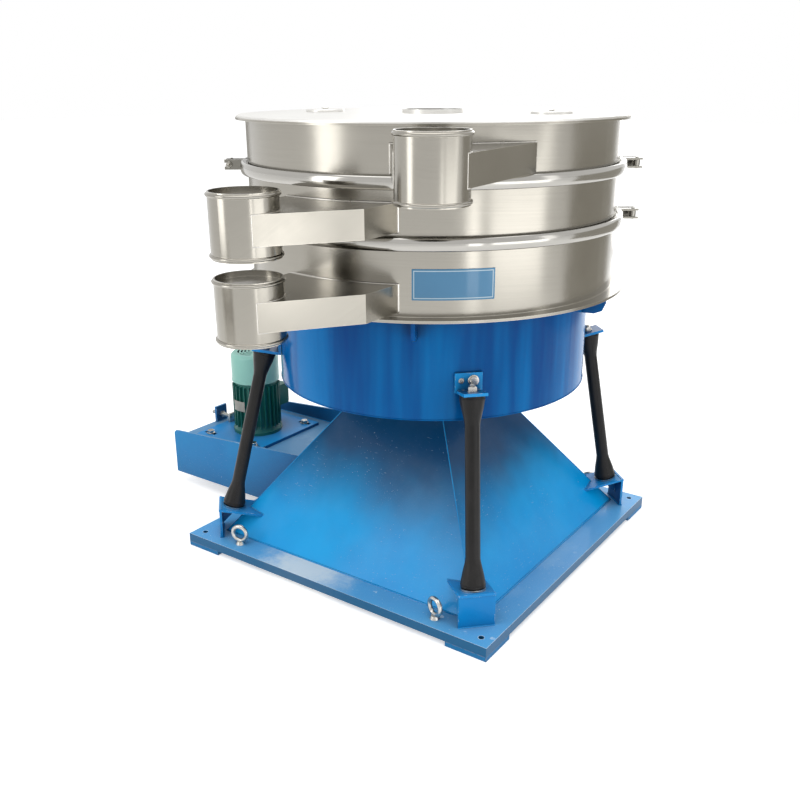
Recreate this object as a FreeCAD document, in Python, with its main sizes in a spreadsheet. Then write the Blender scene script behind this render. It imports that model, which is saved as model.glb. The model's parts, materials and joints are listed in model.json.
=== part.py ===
import FreeCAD, Part
import math
import os
import Sketcher

Vector = FreeCAD.Vector
Placement = FreeCAD.Placement
Rotation = FreeCAD.Rotation

doc = FreeCAD.newDocument("tumbler_screen")
sheet = doc.addObject("Spreadsheet::Sheet", "sizes")

# Driving dimensions, in millimetres and degrees.
SIZES = {
    # square base
    "base_side": 1222,
    "base_rim_height": 30,
    "base_sheet": 12,
    "base_opening_side": 860,
    "pad_side": 140,
    "pad_height": 16,
    "anchor_inset": 40,
    "anchor_bore": 18,
    "eye_spread": 810,
    "eye_inset": 48,
    "eye_ring": 52,
    "eye_wire": 15,
    "eye_shank": 20,
    "eye_collar": 10,
    "eye_collar_sink": 4,
    "eye_collar_foot": 0.62,
    "eye_collar_neck": 0.46,
    "eye_shank_end": 4,
    # pyramid pedestal
    "pedestal_foot": 1032,
    "pedestal_top_side": 370,
    "pedestal_rise": 474,
    "pedestal_wall": 6,
    "pedestal_cap_side": 390,
    "pedestal_cap": 20,
    "belt_window_width": 350,
    "belt_window_bottom": 96,
    "belt_window_rise": 82,
    # main bearing housing and shaft
    "shaft_radius": 45,
    "shaft_tail_radius": 38,
    "bearing_radius": 70,
    "bearing_width": 30,
    "housing_wall": 22,
    "housing_flange_radius": 150,
    "housing_flange": 18,
    "housing_hang": 190,
    "housing_stand": 27,
    "housing_shoulder": 10,
    "housing_collar": 8,
    "shaft_step": 6,
    "housing_bolt": 16,
    "housing_bolt_count": 6,
    "housing_bolt_inset": 24,
    "running_gap": 0.3,
    # belt drive
    "belt_height": 150,
    "belt_width": 26,
    "belt_thick": 10,
    "groove_side": 1,
    "pulley_cheek": 6,
    "main_pulley_radius": 240,
    "motor_pulley_radius": 40,
    "pulley_web": 14,
    "pulley_rim": 16,
    "pulley_bevel": 2,
    "main_hub_radius": 62,
    "motor_hub_radius": 24,
    # crank and balance weight
    "crank_offset": 25,
    "crank_azimuth": 90,
    "crank_disc_radius": 130,
    "crank_disc": 40,
    "crank_disc_gap": 7,
    "crank_disc_web": 18,
    "disc_bevel": 4,
    "pin_radius": 40,
    "pin_top_gap": 8,
    "pin_collar": 14,
    "pin_collar_rise": 10,
    "weight_radius": 300,
    "weight_angle": 110,
    # blue drum
    "drum_radius": 527,
    "drum_wall": 6,
    "drum_bottom": 614,
    "drum_height": 329,
    "drum_lip": 34,
    "drum_flange_inset": 10,
    "drum_flange": 8,
    "drum_deck_height": 800,
    "drum_deck": 12,
    "hub_wall": 25,
    "hub_lift": 18,
    "hub_cap": 8,
    "hub_cap_gap": 2,
    "hub_shoulder": 8,
    "crank_bearing_width": 34,
    "rib_count": 8,
    "rib_thick": 10,
    "rib_lift": 63,
    "lug_azimuth": 10,
    "lug_count": 5,
    "lug_thick": 12,
    "lug_reach": 75,
    "lug_drop": 65,
    "lug_round": 35,
    # stainless screening decks
    "deck_radius": 600,
    "deck_wall": 3,
    "foot_flange_reach": 40,
    "foot_flange_inset": 30,
    "foot_flange": 8,
    "bottom_deck_rise": 201,
    "middle_deck_rise": 153,
    "top_deck_rise": 147,
    "lip_reach": 15,
    "lip": 6,
    "gasket": 2,
    "screen_ring": 6,
    "screen_ring_width": 34,
    "screen_mesh": 1.5,
    "screen_bar": 12,
    "screen_bar_weld": 2,
    "top_flange_reach": 31,
    "top_flange": 6,
    "pan_rise": 26,
    "pan_sheet": 4,
    "pan_rim": 6,
    "pan_bend": 2,
    # clamp rings and their swing bolts
    "band_reach": 23,
    "band_wall": 6,
    "band_grip": 12,
    "band_leg": 8,
    "band_leg_bend": 10,
    "band_grip_bend": 3,
    "band_gap": 14,
    "closure_azimuth": 35,
    "ear_reach": 58,
    "ear_plate": 6,
    "ear_height": 32,
    "ear_nose": 16,
    "clevis_width": 30,
    "clevis_gap": 2,
    "pin_setback": 17,
    "slotted_ear_gap": 8,
    "slotted_ear": 10,
    "slot_clearance": 1,
    "swing_pin": 10,
    "swing_bolt": 10,
    "swing_nut": 17,
    "swing_nut_height": 12,
    "swing_washer": 2,
    "swing_washer_reach": 1.5,
    "swing_eye_wall": 5,
    "swing_bolt_end": 10,
    # outlets
    "outlet_radius": 92,
    "outlet_wall": 2.5,
    "outlet_bead": 5,
    "outlet_length": 172,
    "outlet_stand": 280,
    "spigot_step": 1.5,
    "spigot_length": 43,
    "outlet_cover_depth": 16,
    "chute_height": 80,
    "chute_drop": 41,
    "chute_back": 120,
    "chute_width": 245,
    "chute_corner_stand": 98,
    "chute_root_inset": 110,
    "top_chute_width": 278,
    "top_chute_corner_inset": 48,
    "lower_azimuth": -90,
    "top_azimuth": -57,
    "bottom_outlet_base": 923,
    "middle_outlet_base": 1146,
    "top_outlet_base": 1299,
    # lid
    "lid_reach": 27,
    "lid": 6,
    "lid_bevel": 2,
    "feed_wall": 4,
    "feed_radius": 100,
    "feed_rise": 12,
    "port_radius": 65,
    "port_inset": 210,
    "port_rise": 8,
    "port_azimuth": 12,
    "port_seat": 15,
    "port_plug_gap": 0.5,
    "port_edge_round": 3,
    # struts
    "foot_radius": 700,
    "foot_height": 150,
    "head_radius": 580,
    "head_drop": 89,
    "strut_radius": 22.5,
    "strut_flare": 38,
    "strut_flare_length": 88,
    "strut_face_cone": 2.5,
    "strut_rim": 10,
    "strut_waist": 5,
    "strut_neck": 2,
    "washer": 5,
    "foot_plate": 8,
    "foot_width": 112,
    "foot_outer": 52,
    "foot_inner": 128,
    "foot_gusset_inset": 14,
    "foot_gusset_rise": 70,
    "foot_gusset_share": 0.36,
    "head_plate": 9,
    "head_width": 84,
    "head_outer": 46,
    "head_rise": 62,
    "head_root_inset": 4,
    "head_back_lift": 2,
    "head_leg_share": 0.86,
    "head_bolt": 16,
    "head_bolt_lift": 40,
    "head_small_bolt": 8,
    "head_small_bolt_share": 0.54,
    "head_bolt_share": 0.34,
    "stud": 16,
    "stud_washer": 3,
    # motor side
    "channel_half_width": 255,
    "channel_plate": 8,
    "channel_reach": 1070,
    "channel_tip_height": 182,
    "channel_root_height": 232,
    "shelf_height": 183,
    "shelf": 12,
    "motor_offset": 842,
    "motor_plate_length": 330,
    "motor_plate_width": 390,
    "motor_plate": 12,
    "motor_bolt_x": 120,
    "motor_bolt_y": 155,
    "motor_bolt": 16,
    "tension_travel": 20,
    "motor_plate_bore_gap": 12,
    "shelf_bore_gap": 26,
    "motor_bolt_gap": 1,
    "motor_flange_radius": 100,
    "motor_flange": 12,
    "motor_core_radius": 84,
    "motor_fin_radius": 97,
    "motor_fin": 3.5,
    "motor_fin_count": 28,
    "motor_core_height": 205,
    "fan_cover_height": 118,
    "fan_cover_wall": 2,
    "fan_cover_bevel": 14,
    "fan_cover_foot": 4,
    "fan_top_gap": 40,
    "fan_foot_gap": 12,
    "fan_hub_radius": 24,
    "fan_blade": 3,
    "fan_blade_count": 6,
    "fan_blade_root": 6,
    "fan_blade_gap": 4,
    "fan_blade_inset": 5,
    "motor_bell": 22,
    "motor_fin_end": 15,
    "motor_fin_root": 3,
    "motor_shaft_radius": 14,
    "terminal_box": 88,
    "terminal_box_depth": 70,
    "terminal_box_lift": 70,
    "terminal_box_sink": 6,
    "terminal_box_round": 6,
    "gland_radius": 11,
    "gland_length": 16,
    "gland_stand": 34,
    "lug_plate_width": 60,
    "lug_plate_height": 68,
    "lug_plate": 10,
    "rod_radius": 8,
    "rod_lift": 30,
    "rod_start": 20,
    "rod_end": 42,
    "rod_tab_width": 44,
    "rod_tab": 10,
    "rod_tab_rise": 18,
    "rod_tab_lead": 8,
    "rod_nut": 11,
    "lug_inset": 4,
    "channel_end_slant": 10,
}

for row, (alias, number) in enumerate(SIZES.items(), start=1):
    sheet.set("A%d" % row, alias)
    sheet.set("B%d" % row, str(number))
    sheet.setAlias("B%d" % row, alias)
doc.recompute()


class Dim:
    """A size with its number and the sheet expression that it comes from."""

    def __init__(self, value, text):
        self.value = float(value)
        self.text = text

    @staticmethod
    def of(other):
        return other if isinstance(other, Dim) else Dim(other, repr(float(other)))

    def __add__(self, other):
        other = Dim.of(other)
        return Dim(self.value + other.value, "(%s + %s)" % (self.text, other.text))

    def __sub__(self, other):
        other = Dim.of(other)
        return Dim(self.value - other.value, "(%s - %s)" % (self.text, other.text))

    def __mul__(self, other):
        other = Dim.of(other)
        return Dim(self.value * other.value, "(%s * %s)" % (self.text, other.text))

    def __truediv__(self, other):
        other = Dim.of(other)
        return Dim(self.value / other.value, "(%s / %s)" % (self.text, other.text))

    def __neg__(self):
        return Dim(-self.value, "(0 - %s)" % self.text)

    __radd__ = __add__

    def __rsub__(self, other):
        return Dim.of(other) - self


class Sheet:
    """Reads the sheet by alias: d.base_side is the size and its expression."""

    def __getattr__(self, alias):
        return Dim(float(sheet.get(alias)), "sizes." + alias)


d = Sheet()
parts = []


def keep(shape_object, label, place=None):
    """Name a finished sub-part, put it in its place and list it for export."""
    shape_object.Label = label
    if place is not None:
        shape_object.Placement = place
    parts.append(shape_object)
    return shape_object


def new_body(name, plane):
    body = doc.addObject("PartDesign::Body", name)
    sketch = body.newObject("Sketcher::SketchObject", name + "_sketch")
    origin_plane = [f for f in body.Origin.OriginFeatures if f.Role == plane][0]
    sketch.AttachmentSupport = (origin_plane, [""])
    sketch.MapMode = "FlatFace"
    return body, sketch


def draw_outline(sketch, corners):
    """Draw a closed outline whose corners are pinned to the sheet's sizes."""
    first = sketch.GeometryCount
    points = [(Dim.of(x), Dim.of(y)) for x, y in corners]
    count = len(points)
    for i in range(count):
        (x0, y0), (x1, y1) = points[i], points[(i + 1) % count]
        sketch.addGeometry(Part.LineSegment(Vector(x0.value, y0.value, 0), Vector(x1.value, y1.value, 0)))
    for i in range(count):
        following = first + (i + 1) % count
        sketch.addConstraint(Sketcher.Constraint("Coincident", first + i, 2, following, 1))
    for i, (x, y) in enumerate(points):
        for kind, size in (("DistanceX", x), ("DistanceY", y)):
            index = sketch.addConstraint(Sketcher.Constraint(kind, -1, 1, first + i, 1, size.value))
            if "sizes." in size.text:
                sketch.setExpression("Constraints[%d]" % index, size.text)


def draw_circle(sketch, x, y, radius):
    """Draw a circle whose centre and radius are pinned to the sheet's sizes."""
    x, y, radius = Dim.of(x), Dim.of(y), Dim.of(radius)
    circle = sketch.addGeometry(Part.Circle(Vector(x.value, y.value, 0), Vector(0, 0, 1), radius.value))
    for kind, size in (("DistanceX", x), ("DistanceY", y)):
        index = sketch.addConstraint(Sketcher.Constraint(kind, -1, 1, circle, 3, size.value))
        if "sizes." in size.text:
            sketch.setExpression("Constraints[%d]" % index, size.text)
    index = sketch.addConstraint(Sketcher.Constraint("Radius", circle, radius.value))
    if "sizes." in radius.text:
        sketch.setExpression("Constraints[%d]" % index, radius.text)


def turned(name, corners, angle=360.0):
    """A body turned about Z from corners given as (radius, height)."""
    body, sketch = new_body(name, "XZ_Plane")
    draw_outline(sketch, corners)
    turn = body.newObject("PartDesign::Revolution", name + "_turn")
    turn.Profile = sketch
    turn.ReferenceAxis = (sketch, ["V_Axis"])
    turn.Angle = angle
    body.Tip = turn
    return body


def plate(name, corners, thickness, bottom=0.0, holes=(), plane="XY_Plane", middle=False):
    """A flat plate: an outline with round holes, padded along its normal."""
    thickness, bottom = Dim.of(thickness), Dim.of(bottom)
    body, sketch = new_body(name, plane)
    draw_outline(sketch, corners)
    for x, y, radius in holes:
        draw_circle(sketch, x, y, radius)
    sketch.AttachmentOffset = Placement(Vector(0, 0, bottom.value), Rotation())
    if "sizes." in bottom.text:
        sketch.setExpression("AttachmentOffset.Base.z", bottom.text)
    pad = body.newObject("PartDesign::Pad", name + "_pad")
    pad.Profile = sketch
    pad.Midplane = middle
    pad.Length = thickness.value
    if "sizes." in thickness.text:
        pad.setExpression("Length", thickness.text)
    body.Tip = pad
    return body


def square(half):
    return [(-half, -half), (half, -half), (half, half), (-half, half)]


def rectangle(x0, y0, x1, y1):
    return [(x0, y0), (x1, y0), (x1, y1), (x0, y1)]


def cylinder(name, radius, height, place=None):
    rod = doc.addObject("Part::Cylinder", name)
    rod.setExpression("Radius", Dim.of(radius).text)
    rod.setExpression("Height", Dim.of(height).text)
    if place is not None:
        rod.Placement = place
    return rod


def block(name, length, width, height, x, y, z):
    box = doc.addObject("Part::Box", name)
    for prop, size in (("Length", length), ("Width", width), ("Height", height)):
        box.setExpression(prop, Dim.of(size).text)
    for prop, size in (("x", x), ("y", y), ("z", z)):
        box.setExpression("Placement.Base." + prop, Dim.of(size).text)
    return box


def cut(name, base, tool):
    result = doc.addObject("Part::Cut", name)
    result.Base = base
    result.Tool = tool
    return result


def fuse(name, pieces):
    result = doc.addObject("Part::MultiFuse", name)
    result.Shapes = pieces
    return result


def group(label, shapes, place=None):
    """Several separate solids that share one node."""
    holder = doc.addObject("Part::Feature", label)
    holder.Shape = Part.makeCompound(shapes)
    return keep(holder, label, place)


def moved(shape, place):
    copy = shape.copy()
    copy.Placement = place.multiply(copy.Placement)
    return copy


def around(angles, shape):
    return [moved(shape, Placement(Vector(), Rotation(Vector(0, 0, 1), a))) for a in angles]


def hexagon(across, height):
    """A hexagonal prism on the origin, its axis along Z."""
    corner = across / math.sqrt(3.0)
    ring = [Vector(corner * math.cos(math.radians(60 * i)), corner * math.sin(math.radians(60 * i)), 0)
            for i in range(6)]
    return Part.Face(Part.makePolygon(ring + ring[:1])).extrude(Vector(0, 0, height))


def hex_bolt(diameter, grip, nut=True):
    """A bolt along Z: head above zero, shank down through the grip, nut below."""
    head = hexagon(1.6 * diameter, 0.65 * diameter)
    washer = Part.makeCylinder(1.05 * diameter, 0.15 * diameter)
    head.translate(Vector(0, 0, 0.15 * diameter))
    solid = head.fuse(washer)
    if nut:
        below = hexagon(1.6 * diameter, 0.8 * diameter)
        below.translate(Vector(0, 0, -grip - 0.8 * diameter))
        shank = Part.makeCylinder(0.5 * diameter, grip + diameter, Vector(0, 0, -grip - diameter))
        solid = solid.fuse([shank, below])
    else:
        solid = solid.fuse(Part.makeCylinder(0.5 * diameter, grip, Vector(0, 0, -grip)))
    return solid.removeSplitter()


# Heights that several pieces share.
base_top = d.pad_height + d.base_rim_height
cap_bottom = base_top + d.pedestal_rise
cap_top = cap_bottom + d.pedestal_cap
drum_top = d.drum_bottom + d.drum_height
deck_floor = drum_top + d.foot_flange
screen_stack = d.gasket * 2 + d.screen_ring
bottom_deck_top = deck_floor + d.bottom_deck_rise
middle_deck_bottom = bottom_deck_top + screen_stack
middle_deck_top = middle_deck_bottom + d.middle_deck_rise
top_deck_bottom = middle_deck_top + screen_stack
top_deck_top = top_deck_bottom + d.top_deck_rise
shelf_top = d.shelf_height + d.shelf
motor_seat = shelf_top + d.motor_plate
housing_top = cap_top + d.housing_flange + d.housing_stand
disc_bottom = housing_top + d.crank_disc_gap
disc_top = disc_bottom + d.crank_disc
hub_bottom = disc_top + d.hub_lift
drum_deck_top = d.drum_deck_height + d.drum_deck
head_height = d.drum_deck_height - d.head_drop

# Radii that follow the screening decks.
lip_radius = d.deck_radius + d.lip_reach
foot_flange_radius = d.deck_radius + d.foot_flange_reach
top_flange_radius = d.deck_radius + d.top_flange_reach
band_radius = d.deck_radius + d.band_reach
lid_radius = d.deck_radius + d.lid_reach
drum_flange_radius = d.deck_radius - d.drum_flange_inset
outlet_reach = d.deck_radius + d.outlet_stand
chute_corner = d.deck_radius + d.chute_corner_stand
top_chute_corner = d.deck_radius - d.top_chute_corner_inset

# The crank pin's axis: offset at the height of the strut heads, and inclined so
# that every strut head keeps its distance from its foot.
strut_lean = math.atan2((d.foot_radius - d.head_radius).value, (head_height - d.foot_height).value)
strut_length = math.hypot((d.foot_radius - d.head_radius).value, (head_height - d.foot_height).value)
offset = d.crank_offset.value
pin_tilt = math.degrees(offset * math.tan(strut_lean) / d.head_radius.value)
crank_way = Rotation(Vector(0, 0, 1), d.crank_azimuth.value).multVec(Vector(1, 0, 0))
tilt_axis = Vector(0, 0, 1).cross(crank_way)
head_level = Vector(0, 0, head_height.value)
drum_turn = Rotation(tilt_axis, -pin_tilt)
drum_place = Placement(head_level + crank_way * offset - drum_turn.multVec(head_level), drum_turn)
DIAGONALS = [45, 135, 225, 315]


def base_pieces():
    half = d.base_side / 2
    hole = half - d.anchor_inset
    corners = [(x, y) for x in (-1, 1) for y in (-1, 1)]
    holes = [(hole * x, hole * y, d.anchor_bore / 2) for x, y in corners]
    eyes = [(d.eye_spread / 2 * x, (half - d.eye_inset) * y, d.eye_shank / 2) for x, y in corners]
    tray = plate("base_tray", square(half), d.base_rim_height, d.pad_height, holes + eyes)
    under = block("base_under", d.base_side - d.base_sheet * 2, d.base_side - d.base_sheet * 2,
                  d.base_rim_height - d.base_sheet, d.base_sheet - half, d.base_sheet - half, d.pad_height)
    window = block("base_window", d.base_opening_side, d.base_opening_side, d.base_rim_height * 2,
                   -d.base_opening_side / 2, -d.base_opening_side / 2, d.pad_height)
    bosses, pads = [], []
    for i, (x, y) in enumerate(corners):
        side = d.pad_side
        left = (half - side) if x > 0 else -half
        near = (half - side) if y > 0 else -half
        corner, bore = rectangle(left, near, left + side, near + side), [(hole * x, hole * y, d.anchor_bore / 2)]
        bosses.append(plate("base_corner_%d" % i, corner, d.base_rim_height, d.pad_height, bore))
        pads.append(plate("pad_%d" % i, corner, d.pad_height, 0, bore))
    shell = cut("base_shell", cut("base_pan", tray, under), window)
    keep(fuse("base_weld", [shell] + bosses), "base_frame")
    doc.recompute()
    group("base_pads", [pad.Shape.copy() for pad in pads])


def pyramid(name, foot, top, rise, bottom):
    """A square frustum that stands on the given height."""
    wedge = doc.addObject("Part::Wedge", name)
    half_foot, half_top = foot / 2, top / 2
    for prop, size in (("Xmin", -half_foot), ("Xmax", half_foot), ("Zmin", -half_foot), ("Zmax", half_foot),
                       ("X2min", -half_top), ("X2max", half_top), ("Z2min", -half_top), ("Z2max", half_top),
                       ("Ymin", Dim.of(0)), ("Ymax", rise)):
        wedge.setExpression(prop, size.text)
    wedge.Placement = Placement(Vector(), Rotation(Vector(1, 0, 0), 90))
    wedge.setExpression("Placement.Base.z", bottom.text)
    return wedge


def pedestal_pieces():
    outer = pyramid("pedestal_outer", d.pedestal_foot, d.pedestal_top_side, d.pedestal_rise, base_top)
    slant = math.hypot(((d.pedestal_foot - d.pedestal_top_side) / 2).value, d.pedestal_rise.value)
    side_cut = d.pedestal_wall * 2 * (slant / d.pedestal_rise.value)
    inner = pyramid("pedestal_inner", d.pedestal_foot - side_cut, d.pedestal_top_side - side_cut,
                    d.pedestal_rise, base_top)
    window = block("pedestal_window", d.pedestal_foot / 2, d.belt_window_width, d.belt_window_rise,
                   -d.pedestal_foot / 2 - d.pedestal_wall, -d.belt_window_width / 2, d.belt_window_bottom)
    keep(cut("pedestal_cut", cut("pedestal_shell", outer, inner), window), "pedestal")
    hole = [(0, 0, d.bearing_radius + d.housing_wall + d.running_gap)]
    cap = plate("pedestal_cap_plate", square(d.pedestal_cap_side / 2), d.pedestal_cap, cap_bottom, hole)
    keep(cut("pedestal_cap_drilled", cap, housing_drill()), "pedestal_cap")
    return outer


def housing_bolt_angles():
    count = int(d.housing_bolt_count.value)
    return [360.0 / count * (i + 0.5) for i in range(count)]


def housing_drill():
    """The bolt holes through the housing's flange and the cap under it."""
    pitch = (d.housing_flange_radius - d.housing_bolt_inset).value
    pin = Part.makeCylinder(d.housing_bolt.value / 2, 200, Vector(pitch, 0, cap_bottom.value - 50))
    drill = doc.addObject("Part::Feature", "housing_drill")
    drill.Shape = Part.makeCompound(around(housing_bolt_angles(), pin))
    return drill


def shaft_pieces():
    low = cap_top - d.housing_hang
    high = housing_top
    seat, outer = d.bearing_radius, d.bearing_radius + d.housing_wall
    neck, collar = seat - d.housing_shoulder, outer + d.housing_collar
    housing = turned("housing_turning", [
        (seat, low), (outer, low), (outer, cap_top), (d.housing_flange_radius, cap_top),
        (d.housing_flange_radius, cap_top + d.housing_flange), (collar, cap_top + d.housing_flange),
        (collar, high), (seat, high), (seat, high - d.bearing_width), (neck, high - d.bearing_width),
        (neck, low + d.bearing_width), (seat, low + d.bearing_width)])
    keep(cut("housing_drilled", housing, housing_drill()), "bearing_housing")
    bore = d.shaft_radius + d.running_gap
    rings = []
    for name, bottom in (("lower_bearing", low), ("upper_bearing", high - d.bearing_width)):
        rings.append(turned(name, [(bore, bottom), (seat, bottom), (seat, bottom + d.bearing_width),
                                   (bore, bottom + d.bearing_width)]))
    tail = d.belt_height - d.belt_width
    socket = disc_top - d.crank_disc_web
    keep(turned("shaft_turning", [
        (0, tail), (d.shaft_tail_radius, tail), (d.shaft_tail_radius, low - d.shaft_step), (d.shaft_radius, low - d.shaft_step),
        (d.shaft_radius, socket), (0, socket)]), "main_shaft")
    keep(pulley("main_pulley_turning", d.main_pulley_radius, d.shaft_tail_radius, d.pulley_web, d.main_hub_radius),
         "main_pulley")
    doc.recompute()
    group("main_bearings", [ring.Shape.copy() for ring in rings])
    bolt = hex_bolt(d.housing_bolt.value, d.pedestal_cap.value + d.housing_flange.value)
    pitch = (d.housing_flange_radius - d.housing_bolt_inset).value
    bolt.translate(Vector(pitch, 0, (cap_top + d.housing_flange).value))
    group("housing_bolts", around(housing_bolt_angles(), bolt))

    disc = turned("crank_disc_turning", [
        (d.shaft_radius, disc_bottom), (d.crank_disc_radius, disc_bottom), (d.crank_disc_radius, disc_top - d.disc_bevel),
        (d.crank_disc_radius - d.disc_bevel, disc_top), (0, disc_top), (0, socket), (d.shaft_radius, socket)])
    return disc


def pulley(name, radius, bore, web, hub):
    """A belt pulley: cheeks either side of the belt, a thin web and a hub."""
    middle = d.belt_height
    half_groove = d.belt_width / 2 + d.groove_side
    half = half_groove + d.pulley_cheek
    groove = radius - d.belt_thick
    rim, slant = groove - d.pulley_rim, radius - d.pulley_bevel
    return turned(name, [
        (bore, middle - half), (hub, middle - half), (hub, middle - web / 2), (rim, middle - web / 2),
        (rim, middle - half), (radius, middle - half), (slant, middle - half_groove),
        (groove, middle - half_groove), (groove, middle + half_groove), (slant, middle + half_groove),
        (radius, middle + half), (rim, middle + half), (rim, middle + web / 2), (hub, middle + web / 2),
        (hub, middle + half), (bore, middle + half)])


def crank_pieces():
    disc = shaft_pieces()
    root = disc_top - d.crank_disc_web / 2
    upright = drum_place.multiply(Placement(Vector(0, 0, root.value), Rotation()))
    pin = cylinder("crank_pin", d.pin_radius, drum_deck_top - d.hub_cap - d.pin_top_gap - root, upright)
    collar = cylinder("crank_collar", d.pin_radius + d.pin_collar, disc_top + d.pin_collar_rise - root, upright)
    keep(fuse("crank_weld", [disc, pin, collar]), "crank_head")
    inner = d.crank_disc_radius
    body = turned("weight_turning", [
        (inner, disc_bottom), (d.weight_radius, disc_bottom), (d.weight_radius, disc_top), (inner, disc_top)],
        d.weight_angle.value)
    opposite = d.crank_azimuth.value + 180 - d.weight_angle.value / 2
    keep(body, "balance_weight", Placement(Vector(), Rotation(Vector(0, 0, 1), opposite)))


def drum_pieces():
    inner = d.drum_radius - d.drum_wall
    shell = turned("drum_turning", [
        (inner - d.drum_lip, d.drum_bottom), (d.drum_radius, d.drum_bottom),
        (d.drum_radius, drum_top - d.drum_flange), (drum_flange_radius, drum_top - d.drum_flange),
        (drum_flange_radius, drum_top), (inner, drum_top),
        (inner, d.drum_bottom + d.drum_wall), (inner - d.drum_lip, d.drum_bottom + d.drum_wall)])
    hub_outer = d.bearing_radius + d.hub_wall
    top, hub_ceiling = drum_deck_top, drum_deck_top - d.hub_cap
    seat, neck = d.bearing_radius, d.bearing_radius - d.hub_shoulder
    width = d.crank_bearing_width
    high_seat = hub_ceiling - d.hub_cap_gap - width
    hub = turned("hub_turning", [
        (seat, hub_bottom), (hub_outer, hub_bottom), (hub_outer, top), (0, top), (0, hub_ceiling),
        (seat, hub_ceiling), (seat, high_seat), (neck, high_seat), (neck, hub_bottom + width),
        (seat, hub_bottom + width)])
    floor = turned("deck_turning", [
        (hub_outer, d.drum_deck_height), (inner, d.drum_deck_height), (inner, top), (hub_outer, top)])
    bore = d.pin_radius + d.running_gap
    rings = []
    for name, bottom in (("crank_bearing_low", hub_bottom), ("crank_bearing_high", high_seat)):
        rings.append(turned(name, [(bore, bottom), (seat, bottom), (seat, bottom + width), (bore, bottom + width)]))
    rib_root = hub_outer - d.hub_wall / 3
    rib_low = disc_top + d.rib_lift
    web = plate("rib_web", [
        (rib_root, rib_low),
        (inner - d.running_gap, d.drum_deck_height - (d.drum_deck_height - rib_low) / 3),
        (inner - d.running_gap, d.drum_deck_height), (rib_root, d.drum_deck_height)],
        d.rib_thick, 0, plane="XZ_Plane", middle=True)
    lug_in, lug_out = d.drum_radius - d.drum_wall / 2, d.drum_radius + d.lug_reach
    lug_top = drum_top - d.drum_flange
    lug_low = lug_top - d.lug_drop
    lug = plate("lug_web", [
        (lug_in, lug_low), (lug_out - d.lug_round, lug_low), (lug_out - d.lug_round * 0.3, lug_low + d.lug_round * 0.3),
        (lug_out, lug_low + d.lug_round),
        (lug_out, lug_top), (lug_in, lug_top)], d.lug_thick, 0, plane="XZ_Plane", middle=True)
    doc.recompute()
    group("crank_bearings", [ring.Shape.copy() for ring in rings], drum_place)
    count = int(d.rib_count.value)
    webs = around([360.0 / count * (i + 0.5) for i in range(count)], web.Shape)
    number = int(d.lug_count.value)
    lugs = around([d.lug_azimuth.value + 360.0 / number * i for i in range(number)], lug.Shape)
    group("drum_deck", [hub.Shape.fuse([floor.Shape] + webs)], drum_place)
    return shell.Shape.fuse(lugs)


def plan_tangent(point, centre, radius, side):
    """Where the line from a point touches a circle, on one side of it."""
    reach = centre - point
    distance = reach.Length
    angle = math.asin(radius / distance) * side
    along = Rotation(Vector(0, 0, 1), math.degrees(angle)).multVec(reach)
    return point + along.normalize() * math.sqrt(distance ** 2 - radius ** 2)


def chute_prism(width, corner, bottom, inset, radius):
    """The chute's plan, x outwards and y along the wall, as a solid prism."""
    tube = Vector(outlet_reach.value, 0, 0)
    start = (d.deck_radius - d.chute_root_inset).value
    back = Vector(start, inset - d.chute_back.value, 0)
    turn = Vector(corner - inset, width - inset, 0)
    root = Vector(start, width - inset, 0)
    left = plan_tangent(back, tube, radius, -1)
    right = plan_tangent(turn, tube, radius, 1)
    ring = [back, left, tube, right, turn, root]
    prism = Part.Face(Part.makePolygon(ring + ring[:1])).extrude(Vector(0, 0, d.chute_height.value - 2 * inset))
    prism.translate(Vector(0, 0, bottom + d.chute_drop.value + inset))
    return prism


def outlet(label, azimuth, bottom, width, corner, spigot):
    """A round outlet with rolled beads, an inset cover and its tangential chute."""
    radius, wall, length = d.outlet_radius.value, d.outlet_wall.value, d.outlet_length.value
    bead, cover = d.outlet_bead.value, d.outlet_cover_depth.value
    narrow = radius - wall - d.spigot_step.value
    foot = Vector(outlet_reach.value, 0, bottom)
    outer = Part.makeCylinder(radius, length, foot)
    for height in (bead * 1.6, length - bead * 1.6):
        outer = outer.fuse(Part.makeTorus(radius, bead, foot + Vector(0, 0, height)))
    outer = outer.fuse(chute_prism(width, corner, bottom, 0, radius))
    way = chute_prism(width, corner, bottom, wall, narrow)
    hollows = [way, Part.makeCylinder(narrow, length - cover - wall, foot),
               Part.makeCylinder(narrow, cover, foot + Vector(0, 0, length - cover)),
               Part.makeCylinder(d.deck_radius.value, length * 2, Vector(0, 0, bottom - length / 2))]
    if spigot:
        hollows.append(Part.makeCylinder(radius - wall, d.spigot_length.value, foot))
    turn = Placement(Vector(), Rotation(Vector(0, 0, 1), azimuth))
    group(label, [moved(outer.cut(hollows).removeSplitter(), turn)], drum_place)
    window = doc.addObject("Part::Feature", label + "_window")
    window.Shape = moved(way, turn)
    return window


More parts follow.
